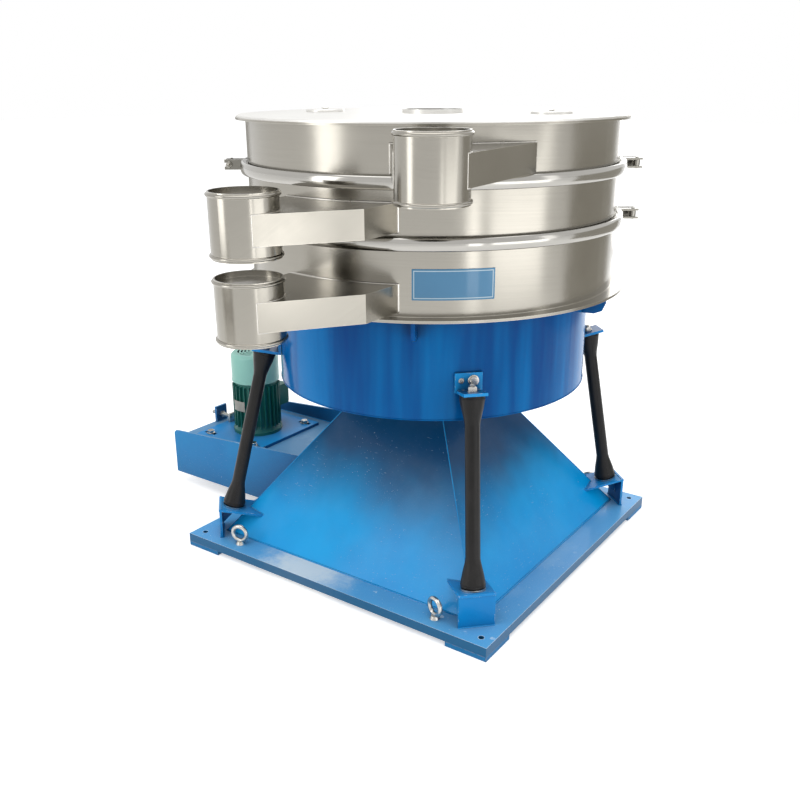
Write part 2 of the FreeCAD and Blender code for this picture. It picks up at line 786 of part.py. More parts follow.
def deck_pieces():
    wall, inner = d.deck_radius, d.deck_radius - d.deck_wall
    foot_inner = inner - d.foot_flange_inset
    plain, corner = d.chute_width.value, chute_corner.value
    low_window = outlet("bottom_outlet", d.lower_azimuth.value, d.bottom_outlet_base.value, plain, corner,
                        True)
    mid_window = outlet("middle_outlet", d.lower_azimuth.value, d.middle_outlet_base.value, plain, corner,
                        False)
    top_window = outlet("top_outlet", d.top_azimuth.value, d.top_outlet_base.value,
                        d.top_chute_width.value, top_chute_corner.value, True)
    bottom_body = turned("bottom_frame_turning", [
        (foot_inner, drum_top), (foot_flange_radius, drum_top), (foot_flange_radius, deck_floor),
        (wall, deck_floor), (wall, bottom_deck_top - d.lip), (lip_radius, bottom_deck_top - d.lip),
        (lip_radius, bottom_deck_top), (inner, bottom_deck_top), (inner, deck_floor), (foot_inner, deck_floor)])
    middle_body = turned("middle_frame_turning", [
        (inner, middle_deck_bottom), (lip_radius, middle_deck_bottom), (lip_radius, middle_deck_bottom + d.lip),
        (wall, middle_deck_bottom + d.lip), (wall, middle_deck_top - d.lip), (lip_radius, middle_deck_top - d.lip),
        (lip_radius, middle_deck_top), (inner, middle_deck_top)])
    top_body = turned("top_frame_turning", [
        (inner, top_deck_bottom), (lip_radius, top_deck_bottom), (lip_radius, top_deck_bottom + d.lip),
        (wall, top_deck_bottom + d.lip), (wall, top_deck_top - d.top_flange),
        (top_flange_radius, top_deck_top - d.top_flange), (top_flange_radius, top_deck_top),
        (inner, top_deck_top)])
    keep(cut("bottom_frame_cut", bottom_body, low_window), "bottom_frame", drum_place)
    keep(cut("middle_frame_cut", middle_body, mid_window), "middle_frame", drum_place)
    keep(cut("top_frame_cut", top_body, top_window), "top_frame", drum_place)
    keep(turned("pan_turning", [
        (0, deck_floor + d.pan_rise), (inner - d.pan_rim, deck_floor), (inner, deck_floor),
        (inner, deck_floor + d.pan_sheet), (inner - d.pan_rim - d.pan_bend, deck_floor + d.pan_sheet),
        (0, deck_floor + d.pan_rise + d.pan_sheet)]),
        "bottom_pan", drum_place)
    seals = []
    for name, floor in (("lower", bottom_deck_top), ("upper", middle_deck_top)):
        seals += screen_set(name, floor)
    group("screen_gaskets", [seal.Shape.copy() for seal in seals], drum_place)


def screen_set(name, floor):
    """A screen ring with its mesh and cross bars, between two gaskets, and its clamp band."""
    inner = d.deck_radius - d.deck_wall
    ring_in = lip_radius - d.screen_ring_width
    ring_low = floor + d.gasket
    ring_top = ring_low + d.screen_ring
    ring = turned(name + "_ring_turning", [
        (ring_in, ring_low), (lip_radius, ring_low), (lip_radius, ring_top), (ring_in, ring_top)])
    reach, depth = ring_in + d.screen_bar_weld, d.screen_ring - d.screen_mesh
    bars = [block(name + "_bar_x", reach * 2, d.screen_bar, depth, -reach, -d.screen_bar / 2, ring_low),
            block(name + "_bar_y", d.screen_bar, reach * 2, depth, -d.screen_bar / 2, -reach, ring_low)]
    keep(fuse(name + "_ring_weld", [ring] + bars), name + "_screen_ring", drum_place)
    mesh = cylinder(name + "_mesh_disc", ring_in, d.screen_mesh)
    lift = Placement(Vector(0, 0, (ring_top - d.screen_mesh).value), Rotation())
    keep(mesh, name + "_screen_mesh", drum_place.multiply(lift))
    seals = []
    for part, bottom in (("under", floor), ("over", ring_top)):
        seals.append(turned(name + "_seal_" + part, [
            (inner, bottom), (lip_radius, bottom), (lip_radius, bottom + d.gasket), (inner, bottom + d.gasket)]))
    clamp_band(name, floor)
    return seals


def clamp_band(name, floor):
    """Two half bands that grip the lips, each end with an ear for the swing bolt."""
    low, high = floor - d.lip, floor + screen_stack + d.lip
    grip, inside = band_radius - d.band_wall - d.band_grip, band_radius - d.band_wall
    bend, leg = d.band_leg_bend, d.band_leg
    profile = turned(name + "_band_turning", [
        (grip, high), (inside, high), (inside, low), (grip, low), (grip, low - leg + d.band_grip_bend),
        (inside, low - leg), (band_radius, low - leg + bend), (band_radius, high + leg - bend),
        (inside, high + leg), (grip, high + leg - d.band_grip_bend)])
    doc.recompute()
    middle = ((low + high) / 2).value
    reach, gap, tall = band_radius.value * 2, d.band_gap.value, (high - low + leg * 4).value
    slit = Part.makeBox(2 * reach, gap, tall, Vector(-reach, -gap / 2, middle - tall / 2))
    halves = profile.Shape.cut(slit).Solids
    ears = closure_ears(middle)
    turns = (0, 180)
    solids = []
    for half in halves:
        side = 1 if half.CenterOfMass.y > 0 else -1
        added = [moved(ears[0 if side * (1 if turn == 0 else -1) < 0 else 1],
                       Placement(Vector(), Rotation(Vector(0, 0, 1), turn))) for turn in turns]
        solids.append(half.fuse(added).removeSplitter())
    turn = Placement(Vector(), Rotation(Vector(0, 0, 1), d.closure_azimuth.value))
    group(name + "_clamp_band", [moved(solid, turn) for solid in solids], drum_place)
    for place, azimuth in (("right", 0), ("left", 180)):
        swing = moved(swing_bolt(middle), Placement(Vector(), Rotation(Vector(0, 0, 1),
                                                    d.closure_azimuth.value + azimuth)))
        group("%s_swing_bolt_%s" % (name, place), [swing], drum_place)


def closure_pin():
    """Where the clevis pin stands, for a closure on the +X side."""
    return Vector((band_radius + d.ear_reach - d.ear_nose).value,
                  -(d.band_gap / 2 + d.clevis_gap + d.pin_setback).value, 0)


def closure_ears(middle):
    """The clevis ear with its pin, and the slotted ear, for a closure on the +X side."""
    inside = (band_radius - d.band_wall / 2).value
    outer = (band_radius + d.ear_reach).value
    thick, half, gap = d.ear_plate.value, d.ear_height.value / 2, d.band_gap.value / 2
    clevis_near, width = gap + d.clevis_gap.value, d.clevis_width.value
    pin = closure_pin()
    clevis = []
    for bottom in (middle - half, middle + half - thick):
        clevis.append(Part.makeBox(outer - inside, width, thick, Vector(inside, -clevis_near - width, bottom)))
    clevis.append(Part.makeCylinder(d.swing_pin.value / 2, 2 * half + 4, pin + Vector(0, 0, middle - half - 2)))
    near, ear = gap + d.slotted_ear_gap.value, d.slotted_ear.value
    slotted = Part.makeBox(outer - inside, ear, 2 * half, Vector(inside, near, middle - half))
    slot_half = d.swing_bolt.value / 2 + d.slot_clearance.value
    slot = Part.makeBox(outer - pin.x + slot_half, 2 * ear + near, 2 * slot_half,
                        Vector(pin.x - slot_half, 0, middle - slot_half))
    nose = Part.makeBox(outer - pin.x, ear, 2 * half, Vector(pin.x, near, middle - half))
    swept = Part.makeCylinder(near + ear - pin.y, 2 * half, pin + Vector(0, 0, middle - half))
    return clevis[0].fuse(clevis[1:]).removeSplitter(), slotted.cut([slot, nose.cut(swept)])


def swing_bolt(middle):
    """An eye on the clevis pin, a shank through the slot and its nut."""
    pin, along = closure_pin(), Vector(0, 1, 0)
    room = d.ear_height.value / 2 - d.ear_plate.value - d.running_gap.value
    bore = d.swing_pin.value / 2 + d.running_gap.value
    eye = Part.makeCylinder(bore + d.swing_eye_wall.value, 2 * room, pin + Vector(0, 0, middle - room))
    shank_start = pin.y + bore + d.swing_eye_wall.value / 2
    washer_start = (d.band_gap / 2 + d.slotted_ear_gap + d.slotted_ear + d.running_gap).value
    nut_start = washer_start + d.swing_washer.value
    shank_end = nut_start + d.swing_nut_height.value + d.swing_bolt_end.value
    shank = Part.makeCylinder(d.swing_bolt.value / 2, shank_end - shank_start,
                              Vector(pin.x, shank_start, middle), along)
    washer = Part.makeCylinder((d.swing_nut / 2 + d.swing_washer_reach).value, d.swing_washer.value,
                               Vector(pin.x, washer_start, middle), along)
    nut = hexagon(d.swing_nut.value, d.swing_nut_height.value)
    nut.Placement = Placement(Vector(pin.x, nut_start, middle), Rotation(Vector(0, 0, 1), along))
    bore_cut = Part.makeCylinder(bore, 4 * room, pin + Vector(0, 0, middle - 2 * room))
    return eye.fuse([shank, washer, nut]).cut(bore_cut).removeSplitter()


def lid_pieces():
    top = top_deck_top + d.lid
    reach, radius, throat = d.deck_radius - d.port_inset, d.port_radius, d.feed_radius - d.feed_wall
    hole = (radius - d.port_seat).value
    azimuths = (d.port_azimuth.value, d.port_azimuth.value + 180)
    disc = turned("lid_turning", [
        (throat, top_deck_top), (lid_radius, top_deck_top), (lid_radius, top - d.lid_bevel),
        (lid_radius - d.lid_bevel, top), (d.feed_radius, top), (d.feed_radius, top + d.feed_rise),
        (throat, top + d.feed_rise)])
    doc.recompute()
    shape = disc.Shape
    centres = []
    for azimuth in azimuths:
        way = Rotation(Vector(0, 0, 1), azimuth).multVec(Vector(reach.value, 0, 0))
        centres.append(way)
        shape = shape.cut(Part.makeCylinder(hole, d.lid.value * 3, way + Vector(0, 0, (top - d.lid * 2).value)))
    group("lid", [shape], drum_place)
    rise = d.port_rise.value
    for side, centre in zip(("right", "left"), centres):
        seat = centre + Vector(0, 0, top.value + d.running_gap.value)
        cap = Part.makeCylinder(radius.value, rise, seat)
        cap = cap.makeFillet(d.port_edge_round.value, [e for e in cap.Edges if abs(e.BoundBox.ZMin - seat.z - rise) < 0.01
                                 and abs(e.BoundBox.ZMax - seat.z - rise) < 0.01])
        plug = Part.makeCylinder(hole - d.port_plug_gap.value, d.lid.value, seat - Vector(0, 0, d.lid.value))
        group("port_cap_" + side, [cap.fuse(plug)], drum_place)


def strut_frame(azimuth):
    """The foot pivot's frame: Z up the strut's mean axis, X outwards."""
    out = Rotation(Vector(0, 0, 1), azimuth)
    foot = out.multVec(Vector(d.foot_radius.value, 0, d.foot_height.value))
    return Placement(foot, out.multiply(Rotation(Vector(0, 1, 0), -math.degrees(strut_lean))))


def strut_pieces():
    length = math.hypot(strut_length, offset)
    swing = math.degrees(math.atan2(offset, strut_length))
    flare, shaft, cone = d.strut_flare, d.strut_radius, d.strut_face_cone
    taper = d.strut_flare_length
    gap, rim = d.running_gap, d.strut_rim
    waist, neck = flare - d.strut_waist, shaft + d.strut_neck
    end = Dim(length, repr(length))
    for i, azimuth in enumerate(DIAGONALS):
        frame = strut_frame(azimuth)
        number = i + 1
        strut = turned("strut_%d_turning" % number, [
            (0, gap), (flare, gap + cone), (flare, gap + cone + rim), (waist, taper * 0.45),
            (neck, taper * 0.85), (shaft, taper), (shaft, end - taper), (neck, end - taper * 0.85),
            (waist, end - taper * 0.45), (flare, end - gap - cone - rim), (flare, end - gap - cone),
            (0, end - gap)])
        way = Rotation(Vector(0, 0, 1), d.crank_azimuth.value - azimuth).multVec(Vector(1, 0, 0))
        lean = Placement(Vector(), Rotation(Vector(0, 0, 1).cross(way), swing))
        keep(strut, "strut_%d" % number, frame.multiply(lean))
        washer = cylinder("foot_washer_%d" % number, flare, d.washer)
        keep(washer, "foot_washer_%d" % number,
             frame.multiply(Placement(Vector(0, 0, -d.washer.value), Rotation())))


def foot_brackets(pedestal_outside):
    """Bent plates on the base: a seat square to the strut, an outer leg and a gusset."""
    thick, half = d.foot_plate.value, d.foot_width.value / 2
    outer, inner = d.foot_outer.value, d.foot_inner.value
    drop = d.washer.value + d.running_gap.value
    shapes = []
    for azimuth in DIAGONALS:
        frame = strut_frame(azimuth)
        seat = Part.makeBox(outer + inner, 2 * half, thick, Vector(-inner, -half, -drop - thick))
        seat = moved(seat, frame)
        edge = frame.multVec(Vector(outer, 0, -drop))
        radial = math.hypot(edge.x, edge.y)
        leg = Part.makeBox(thick, 2 * half, edge.z - base_top.value, Vector(radial - thick, -half, base_top.value))
        low_seat = frame.multVec(Vector(d.foot_gusset_inset.value - inner, 0, -drop - thick))
        run = radial - math.hypot(low_seat.x, low_seat.y)
        rise = min(d.foot_gusset_rise.value, edge.z - base_top.value)
        run, top_z = run * d.foot_gusset_share.value, edge.z - thick
        corner = Vector(radial - thick, -thick / 2, top_z)
        web = Part.Face(Part.makePolygon([
            corner, corner - Vector(run, 0, run * math.tan(strut_lean)), corner - Vector(0, 0, rise), corner
        ])).extrude(Vector(0, thick, 0))
        turn = Placement(Vector(), Rotation(Vector(0, 0, 1), azimuth))
        bracket = seat.fuse([moved(leg, turn), moved(web, turn)]).removeSplitter()
        bracket = bracket.cut(pedestal_outside.Shape)
        shapes.append(bracket)
    group("strut_feet", shapes)


def head_brackets(drum_shape):
    """Angle brackets on the drum: a bolted back plate and a leg square to the strut."""
    thick, half = d.head_plate.value, d.head_width.value / 2
    drum, gap = d.drum_radius.value, d.running_gap.value
    lean = math.degrees(strut_lean)
    brackets, bolts, nuts, drills = [], [], [], []
    for azimuth in DIAGONALS:
        turn = Placement(Vector(), Rotation(Vector(0, 0, 1), azimuth))
        head = Placement(Vector(d.head_radius.value, 0, head_height.value), Rotation(Vector(0, 1, 0), -lean))
        outer, inner = d.head_outer.value, d.head_radius.value - drum - d.head_root_inset.value
        leg_half = half * d.head_leg_share.value
        leg = moved(Part.makeBox(outer + inner, 2 * leg_half, thick, Vector(-inner, -leg_half, gap)), head)
        low = head.multVec(Vector(-inner, 0, gap)).z
        back = Part.makeBox(thick, 2 * half, d.head_rise.value, Vector(drum, -half, low + d.head_back_lift.value))
        inside = Part.makeCylinder(drum, 4 * d.head_rise.value, Vector(0, 0, low - 2 * d.head_rise.value))
        brackets.append(moved(leg.fuse(back).cut(inside).removeSplitter(), turn))
        grip, reach = thick + d.drum_wall.value + d.head_back_lift.value, 5 * d.head_bolt.value
        for size, across in ((d.head_small_bolt.value, -half * d.head_small_bolt_share.value),
                             (d.head_bolt.value, half * d.head_bolt_share.value)):
            place = turn.multiply(Placement(Vector(drum + thick, across, low + d.head_bolt_lift.value),
                                            Rotation(Vector(0, 1, 0), 90)))
            bolts.append(moved(hex_bolt(size, grip), place))
            drills.append(moved(Part.makeCylinder(size / 2, reach, Vector(0, 0, -reach * 0.75)), place))
        stud, seat = d.stud.value, gap + thick
        nut = hexagon(1.6 * stud, 0.8 * stud)
        nut.translate(Vector(0, 0, seat + d.stud_washer.value))
        nut = nut.fuse([Part.makeCylinder(stud, d.stud_washer.value, Vector(0, 0, seat)),
                        Part.makeCylinder(stud / 2, 1.4 * stud, Vector(0, 0, seat))])
        nuts.append(moved(moved(nut.removeSplitter(), head), turn))
    group("drum_shell", [drum_shape.cut(drills)], drum_place)
    group("strut_head_brackets", [bracket.cut(drills) for bracket in brackets], drum_place)
    group("strut_head_bolts", bolts + nuts, drum_place)


def eye_pieces():
    """Lifting eyes on two sides of the base."""
    ring, wire = d.eye_ring.value / 2, d.eye_wire.value / 2
    rise = d.eye_collar.value
    centre_z = ring + wire + rise - d.eye_collar_sink.value
    torus = Part.makeTorus(ring, wire, Vector(0, 0, centre_z), Vector(0, 1, 0))
    collar = Part.makeCone(ring * d.eye_collar_foot.value, ring * d.eye_collar_neck.value, rise)
    depth = (d.base_sheet + d.eye_shank_end).value
    shank = Part.makeCylinder(d.eye_shank.value / 2, depth, Vector(0, 0, -depth))
    eye = torus.fuse([collar, shank]).removeSplitter()
    half = d.base_side.value / 2
    across, line = d.eye_spread.value / 2, half - d.eye_inset.value
    shapes = []
    for x, y, turn in ((-across, -line, 15), (across, -line, -20), (across, line, 20), (-across, line, -10)):
        shapes.append(moved(eye, Placement(Vector(x, y, base_top.value), Rotation(Vector(0, 0, 1), turn))))
    group("eye_bolts", shapes)


def channel_pieces():
    half, thick = d.channel_half_width, d.channel_plate
    tip_top = base_top + d.channel_tip_height
    root_top = base_top + d.channel_root_height
    root = -d.pedestal_foot / 2
    slope = ((d.pedestal_foot - d.pedestal_top_side) / 2 / d.pedestal_rise)
    lean = slope * d.channel_root_height
    tip, slant = -d.channel_reach, d.channel_end_slant
    sides = []
    for name, y in (("near", -half), ("far", half - thick)):
        side = plate("channel_" + name, [
            (tip, base_top), (root, base_top), (root + lean, root_top), (tip + slant, tip_top),
            (tip, tip_top - slant)], thick, -(y + thick), plane="XZ_Plane")
        sides.append(side)
    far_end = slope * (d.shelf_height - base_top) - d.pedestal_foot / 2
    bolt_hole = d.motor_bolt / 2 + d.motor_bolt_gap
    holes = [(d.motor_bolt_x * x - d.motor_offset, d.motor_bolt_y * y, bolt_hole) for x in (-1, 1) for y in (-1, 1)]
    shelf = plate("channel_shelf", rectangle(tip, -half + thick, far_end, half - thick), d.shelf, d.shelf_height,
                  [(-d.motor_offset, 0, d.motor_pulley_radius + d.shelf_bore_gap)] + holes)
    lug_x = tip + d.lug_inset
    rod_z = shelf_top + d.rod_lift
    lug = plate("tension_lug_plate", rectangle(-d.lug_plate_width / 2, shelf_top, d.lug_plate_width / 2,
                                               shelf_top + d.lug_plate_height),
                d.lug_plate, lug_x, [(0, rod_z, d.rod_radius + d.motor_bolt_gap)], plane="YZ_Plane")
    keep(fuse("channel_weld", sides + [shelf, lug]), "motor_channel")


def motor_pieces():
    x = -d.motor_offset
    half_l, half_w = d.motor_plate_length / 2, d.motor_plate_width / 2
    base = plate("motor_plate_sheet", rectangle(x - half_l, -half_w, x + half_l, half_w), d.motor_plate, shelf_top,
                 [(x, 0, d.motor_pulley_radius + d.motor_plate_bore_gap)])
    doc.recompute()
    travel, bolt = d.tension_travel.value, d.motor_bolt.value
    slots, bolts = [], []
    for sx in (-1, 1):
        for sy in (-1, 1):
            centre = Vector((x + d.motor_bolt_x * sx).value, sy * d.motor_bolt_y.value, shelf_top.value)
            width, deep = bolt + 2 * d.motor_bolt_gap.value, d.motor_plate.value
            slots.append(Part.makeBox(2 * travel + width, width, 3 * deep,
                                      centre - Vector(travel + width / 2, width / 2, deep)))
            fixing = hex_bolt(bolt, (d.motor_plate + d.shelf + d.running_gap).value)
            fixing.translate(centre + Vector(0, 0, d.motor_plate.value + d.running_gap.value))
            bolts.append(fixing)
    group("motor_plate", [base.Shape.cut(slots)])
    group("motor_plate_bolts", bolts)
    centre = Placement(Vector(x.value, 0, 0), Rotation())
    body_low = motor_seat + d.motor_flange
    body_high = body_low + d.motor_core_height
    core = Part.makeCylinder(d.motor_core_radius.value, d.motor_core_height.value, Vector(0, 0, body_low.value))
    flange = Part.makeCylinder(d.motor_flange_radius.value, d.motor_flange.value, Vector(0, 0, motor_seat.value))
    bell = Part.makeCone(d.motor_fin_radius.value, d.motor_core_radius.value, d.motor_bell.value,
                         Vector(0, 0, body_low.value))
    count, thick = int(d.motor_fin_count.value), d.motor_fin.value
    root, end = (d.motor_core_radius - d.motor_fin_root).value, d.motor_fin_end.value
    fin = Part.makeBox(d.motor_fin_radius.value - root, thick, d.motor_core_height.value - 2 * end,
                       Vector(root, -thick / 2, body_low.value + end))
    fins = around([360.0 / count * i for i in range(count)], fin)
    hollow = Part.makeCylinder((d.motor_shaft_radius + d.running_gap).value, (body_high - motor_seat).value,
                               Vector(0, 0, motor_seat.value))
    casing = flange.fuse([core, bell] + fins).cut(hollow)
    side, box_low = d.terminal_box.value, (body_low + d.terminal_box_lift).value
    turn = Placement(Vector(), Rotation(Vector(0, 0, 1), 90))
    box = Part.makeBox(d.terminal_box_depth.value, side, side,
                       Vector((d.motor_core_radius - d.terminal_box_sink).value, -side / 2, box_low))
    casing = casing.cut(moved(box, turn))
    group("motor_body", [moved(casing.removeSplitter(), centre)])
    box = box.makeFillet(d.terminal_box_round.value,
                         [e for e in box.Edges if e.BoundBox.XMin > d.motor_core_radius.value])
    long = d.gland_length.value
    gland = Part.makeCylinder(d.gland_radius.value, long,
                              Vector((d.motor_core_radius + d.gland_stand).value, 0, box_low - long))
    terminal = moved(box.fuse(gland), turn)
    group("terminal_box", [moved(terminal, centre)])
    wall, bevel, foot = d.fan_cover_wall, d.fan_cover_bevel, d.fan_cover_foot
    lid = body_high + d.fan_cover_height
    cover = turned("fan_cover_turning", [
        (d.motor_core_radius, body_high), (d.motor_fin_radius, body_high),
        (d.motor_fin_radius, lid - bevel), (d.motor_fin_radius - bevel, lid), (0, lid), (0, lid - wall),
        (d.motor_fin_radius - bevel - wall / 2, lid - wall), (d.motor_fin_radius - wall, lid - bevel - wall / 2),
        (d.motor_fin_radius - wall, body_high + foot), (d.motor_core_radius, body_high + foot)])
    keep(cover, "fan_cover", centre)
    shaft_top = lid - d.fan_top_gap
    tail = d.belt_height - d.belt_width
    shaft_body = Part.makeCylinder(d.motor_shaft_radius.value, (shaft_top - tail).value,
                                   Vector(0, 0, tail.value))
    group("motor_shaft", [moved(shaft_body, centre)])
    keep(pulley("motor_pulley_turning", d.motor_pulley_radius, d.motor_shaft_radius, d.belt_width, d.motor_hub_radius),
         "motor_pulley", centre)
    fan_body = fan_shape((body_high + d.fan_foot_gap).value, shaft_top.value)
    group("motor_fan", [moved(fan_body, centre)])
    tension_rod(x - half_l)


def fan_shape(low, high):
    """The motor's cooling fan: a hub with straight blades."""
    hub_radius, thick, inset = d.fan_hub_radius.value, d.fan_blade.value, d.fan_blade_inset.value
    hub = Part.makeCylinder(hub_radius, high - low, Vector(0, 0, low))
    root = hub_radius - d.fan_blade_root.value
    tip = (d.motor_fin_radius - d.fan_cover_wall - d.fan_blade_gap).value
    blade = Part.makeBox(tip - root, thick, high - low - 2 * inset, Vector(root, -thick / 2, low + inset))
    bore = Part.makeCylinder(d.motor_shaft_radius.value, high - low, Vector(0, 0, low))
    count = int(d.fan_blade_count.value)
    return hub.fuse(around([360.0 / count * i for i in range(count)], blade)).removeSplitter().cut(bore)


def tension_rod(plate_edge):
    """The threaded rod that sets the belt's tension, its tab and its lock nuts."""
    rod_z = (shelf_top + d.rod_lift).value
    radius, nut_height, width = d.rod_radius.value, d.rod_nut.value, d.rod_tab_width.value
    start = (plate_edge + d.rod_start).value
    lug_far = (d.lug_inset - d.channel_reach).value
    lug_near = lug_far + d.lug_plate.value
    along = Vector(-1, 0, 0)
    rod = Part.makeCylinder(radius, start - lug_far + d.rod_end.value, Vector(start, 0, rod_z), along)
    tab = Part.makeBox(d.rod_tab.value, width, (d.rod_lift + d.rod_tab_rise - d.motor_plate).value,
                       Vector(start - d.rod_tab_lead.value, -width / 2, motor_seat.value))
    group("tension_rod", [tab.fuse(rod)])
    nuts = []
    for position in (lug_near + nut_height, lug_far):
        place = Placement(Vector(position, 0, rod_z), Rotation(Vector(0, 0, 1), along))
        bore = Part.makeCylinder(radius + d.running_gap.value, nut_height)
        nuts.append(moved(hexagon(2.9 * radius, nut_height).cut(bore), place))
    group("tension_nuts", nuts)


def belt_piece():
    """The endless belt round both pulleys."""
    gap = d.running_gap.value
    big = d.main_pulley_radius.value - d.belt_thick.value + gap
    small = d.motor_pulley_radius.value - d.belt_thick.value + gap
    thick, centres = d.belt_thick.value, d.motor_offset.value

    def loop(extra):
        r0, r1 = big + extra, small + extra
        lean = math.asin((r0 - r1) / centres)
        top0 = Vector(-r0 * math.sin(lean), r0 * math.cos(lean), 0)
        top1 = Vector(-centres - r1 * math.sin(lean), r1 * math.cos(lean), 0)
        low0, low1 = Vector(top0.x, -top0.y, 0), Vector(top1.x, -top1.y, 0)
        edges = [Part.LineSegment(top0, top1).toShape(),
                 Part.Arc(top1, Vector(-centres - r1, 0, 0), low1).toShape(),
                 Part.LineSegment(low1, low0).toShape(),
                 Part.Arc(low0, Vector(r0, 0, 0), top0).toShape()]
        return Part.Face(Part.Wire(edges)).extrude(Vector(0, 0, d.belt_width.value))

    belt = loop(thick).cut(loop(0))
    belt.translate(Vector(0, 0, (d.belt_height - d.belt_width / 2).value))
    group("drive_belt", [belt])


base_pieces()
pedestal_outside = pedestal_pieces()
crank_pieces()
drum_shape = drum_pieces()
deck_pieces()
lid_pieces()
strut_pieces()
foot_brackets(pedestal_outside)
head_brackets(drum_shape)
eye_pieces()
channel_pieces()
motor_pieces()
belt_piece()
doc.recompute()

for thing in doc.Objects:
    if "Invalid" in thing.State or "Error" in thing.State:
        raise RuntimeError("%s failed: %s" % (thing.Label, thing.State))
os.makedirs("parts", exist_ok=True)
for piece in parts:
    if piece.Shape.isNull() or not piece.Shape.isValid():
        raise RuntimeError("%s has no valid shape" % piece.Label)
for piece in parts:
    piece.Shape.exportStep("parts/%s.step" % piece.Label)
print("%d sub-parts written" % len(parts))
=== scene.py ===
"""Looks of a swing screening machine: stainless decks on a blue drum, rubber struts, a pyramid pedestal."""

import json
import math

import bmesh
import bpy
from mathutils import Matrix, Vector

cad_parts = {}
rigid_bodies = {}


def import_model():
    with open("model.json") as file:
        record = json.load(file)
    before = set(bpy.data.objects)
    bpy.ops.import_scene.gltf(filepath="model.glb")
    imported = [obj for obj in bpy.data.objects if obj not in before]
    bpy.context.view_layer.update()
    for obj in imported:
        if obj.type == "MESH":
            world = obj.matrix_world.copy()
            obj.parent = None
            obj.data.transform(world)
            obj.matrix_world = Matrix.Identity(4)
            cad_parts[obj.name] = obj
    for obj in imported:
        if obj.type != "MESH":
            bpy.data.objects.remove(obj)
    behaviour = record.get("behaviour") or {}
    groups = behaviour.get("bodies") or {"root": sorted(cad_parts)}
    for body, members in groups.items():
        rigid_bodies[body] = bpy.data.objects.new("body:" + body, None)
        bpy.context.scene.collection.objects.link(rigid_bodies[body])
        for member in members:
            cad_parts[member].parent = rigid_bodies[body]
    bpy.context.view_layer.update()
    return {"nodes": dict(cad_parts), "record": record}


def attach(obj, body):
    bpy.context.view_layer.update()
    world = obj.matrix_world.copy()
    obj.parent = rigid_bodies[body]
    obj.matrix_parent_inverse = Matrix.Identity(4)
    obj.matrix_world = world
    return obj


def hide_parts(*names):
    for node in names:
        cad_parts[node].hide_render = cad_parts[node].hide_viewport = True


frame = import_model()
nodes = frame["nodes"]

FULL_TURN = 2 * math.pi

# Sizes shared with the part's source, in metres and degrees.
BASE_SIDE = 1.222
BASE_TOP = 0.046
PEDESTAL_FOOT = 1.032
PEDESTAL_TOP_SIDE = 0.370
CAP_BOTTOM = 0.520
DRUM_RADIUS = 0.527
DRUM_BOTTOM = 0.614
DRUM_TOP = 0.943
DECK_FLOOR = 0.951
DECK_RADIUS = 0.600
BOTTOM_DECK_TOP = 1.152
MIDDLE_DECK_BOTTOM = 1.162
MIDDLE_DECK_TOP = 1.315
TOP_DECK_BOTTOM = 1.325
TOP_DECK_TOP = 1.472
BAND_RADIUS = 0.623
BAND_HALF_HEIGHT = 0.019
CLOSURE_AZIMUTH = 35
CRANK_OFFSET = 0.025
HEAD_HEIGHT = 0.711
HEAD_RADIUS = 0.580
FOOT_HEIGHT = 0.150
FOOT_RADIUS = 0.700
STRUT_LEAN = math.atan2(FOOT_RADIUS - HEAD_RADIUS, HEAD_HEIGHT - FOOT_HEIGHT)
DIAGONALS = (45, 135, 225, 315)
OUTLET_REACH = 0.880
OUTLET_RADIUS = 0.092
MOTOR_OFFSET = 0.842
SHELF_TOP = 0.195
MOTOR_SEAT = 0.207

# The drum turns about an inclined crank pin, so all that it carries is built upright and then put in this place.
drum_tilt = Matrix.Rotation(CRANK_OFFSET * math.tan(STRUT_LEAN) / HEAD_RADIUS, 4, "X")
head_level = Vector((0, 0, HEAD_HEIGHT))
drum_place = Matrix.Translation(head_level + Vector((0, CRANK_OFFSET, 0)) - drum_tilt @ head_level) @ drum_tilt


# Shader groups, each made once and placed in many finishes.


class Nodes:
    """Short words for laying out a node tree."""

    def __init__(self, tree):
        self.tree = tree

    def add(self, kind, **settings):
        node = self.tree.nodes.new(kind)
        for key, value in settings.items():
            setattr(node, key, value)
        return node

    def join(self, source, target):
        self.tree.links.new(source, target)

    def feed(self, socket, value):
        """Join a socket to another one, or write a plain value into it."""
        if isinstance(value, bpy.types.NodeSocket):
            self.join(value, socket)
        else:
            socket.default_value = value

    def math(self, operation, first, second=0.0, clamp=False):
        node = self.add("ShaderNodeMath", operation=operation, use_clamp=clamp)
        self.feed(node.inputs[0], first)
        self.feed(node.inputs[1], second)
        return node.outputs[0]

    def noise(self, vector, scale, detail=3.0, roughness=0.55):
        node = self.add("ShaderNodeTexNoise")
        self.feed(node.inputs["Vector"], vector)
        self.feed(node.inputs["Scale"], scale)
        node.inputs["Detail"].default_value = detail
        node.inputs["Roughness"].default_value = roughness
        return node.outputs["Fac"]

    def ramp(self, value, low, high, start=0.0, end=1.0):
        """Spread a value between low and high over start to end, smoothly."""
        node = self.add("ShaderNodeMapRange", interpolation_type="SMOOTHSTEP")
        self.feed(node.inputs["Value"], value)
        self.feed(node.inputs["From Min"], low)
        self.feed(node.inputs["From Max"], high)
        self.feed(node.inputs["To Min"], start)
        self.feed(node.inputs["To Max"], end)
        return node.outputs["Result"]

    def blend(self, amount, first, second):
        node = self.add("ShaderNodeMix", data_type="RGBA")
        self.feed(node.inputs["Factor"], amount)
        self.feed(node.inputs[6], first)
        self.feed(node.inputs[7], second)
        return node.outputs[2]

    def stretched(self, along, across, up):
        """The piece's own coordinates, scaled apart on each axis."""
        place = self.add("ShaderNodeTexCoord")
        scaled = self.add("ShaderNodeMapping")
        self.join(place.outputs["Object"], scaled.inputs["Vector"])
        scaled.inputs["Scale"].default_value = (along, across, up)
        return scaled.outputs["Vector"]


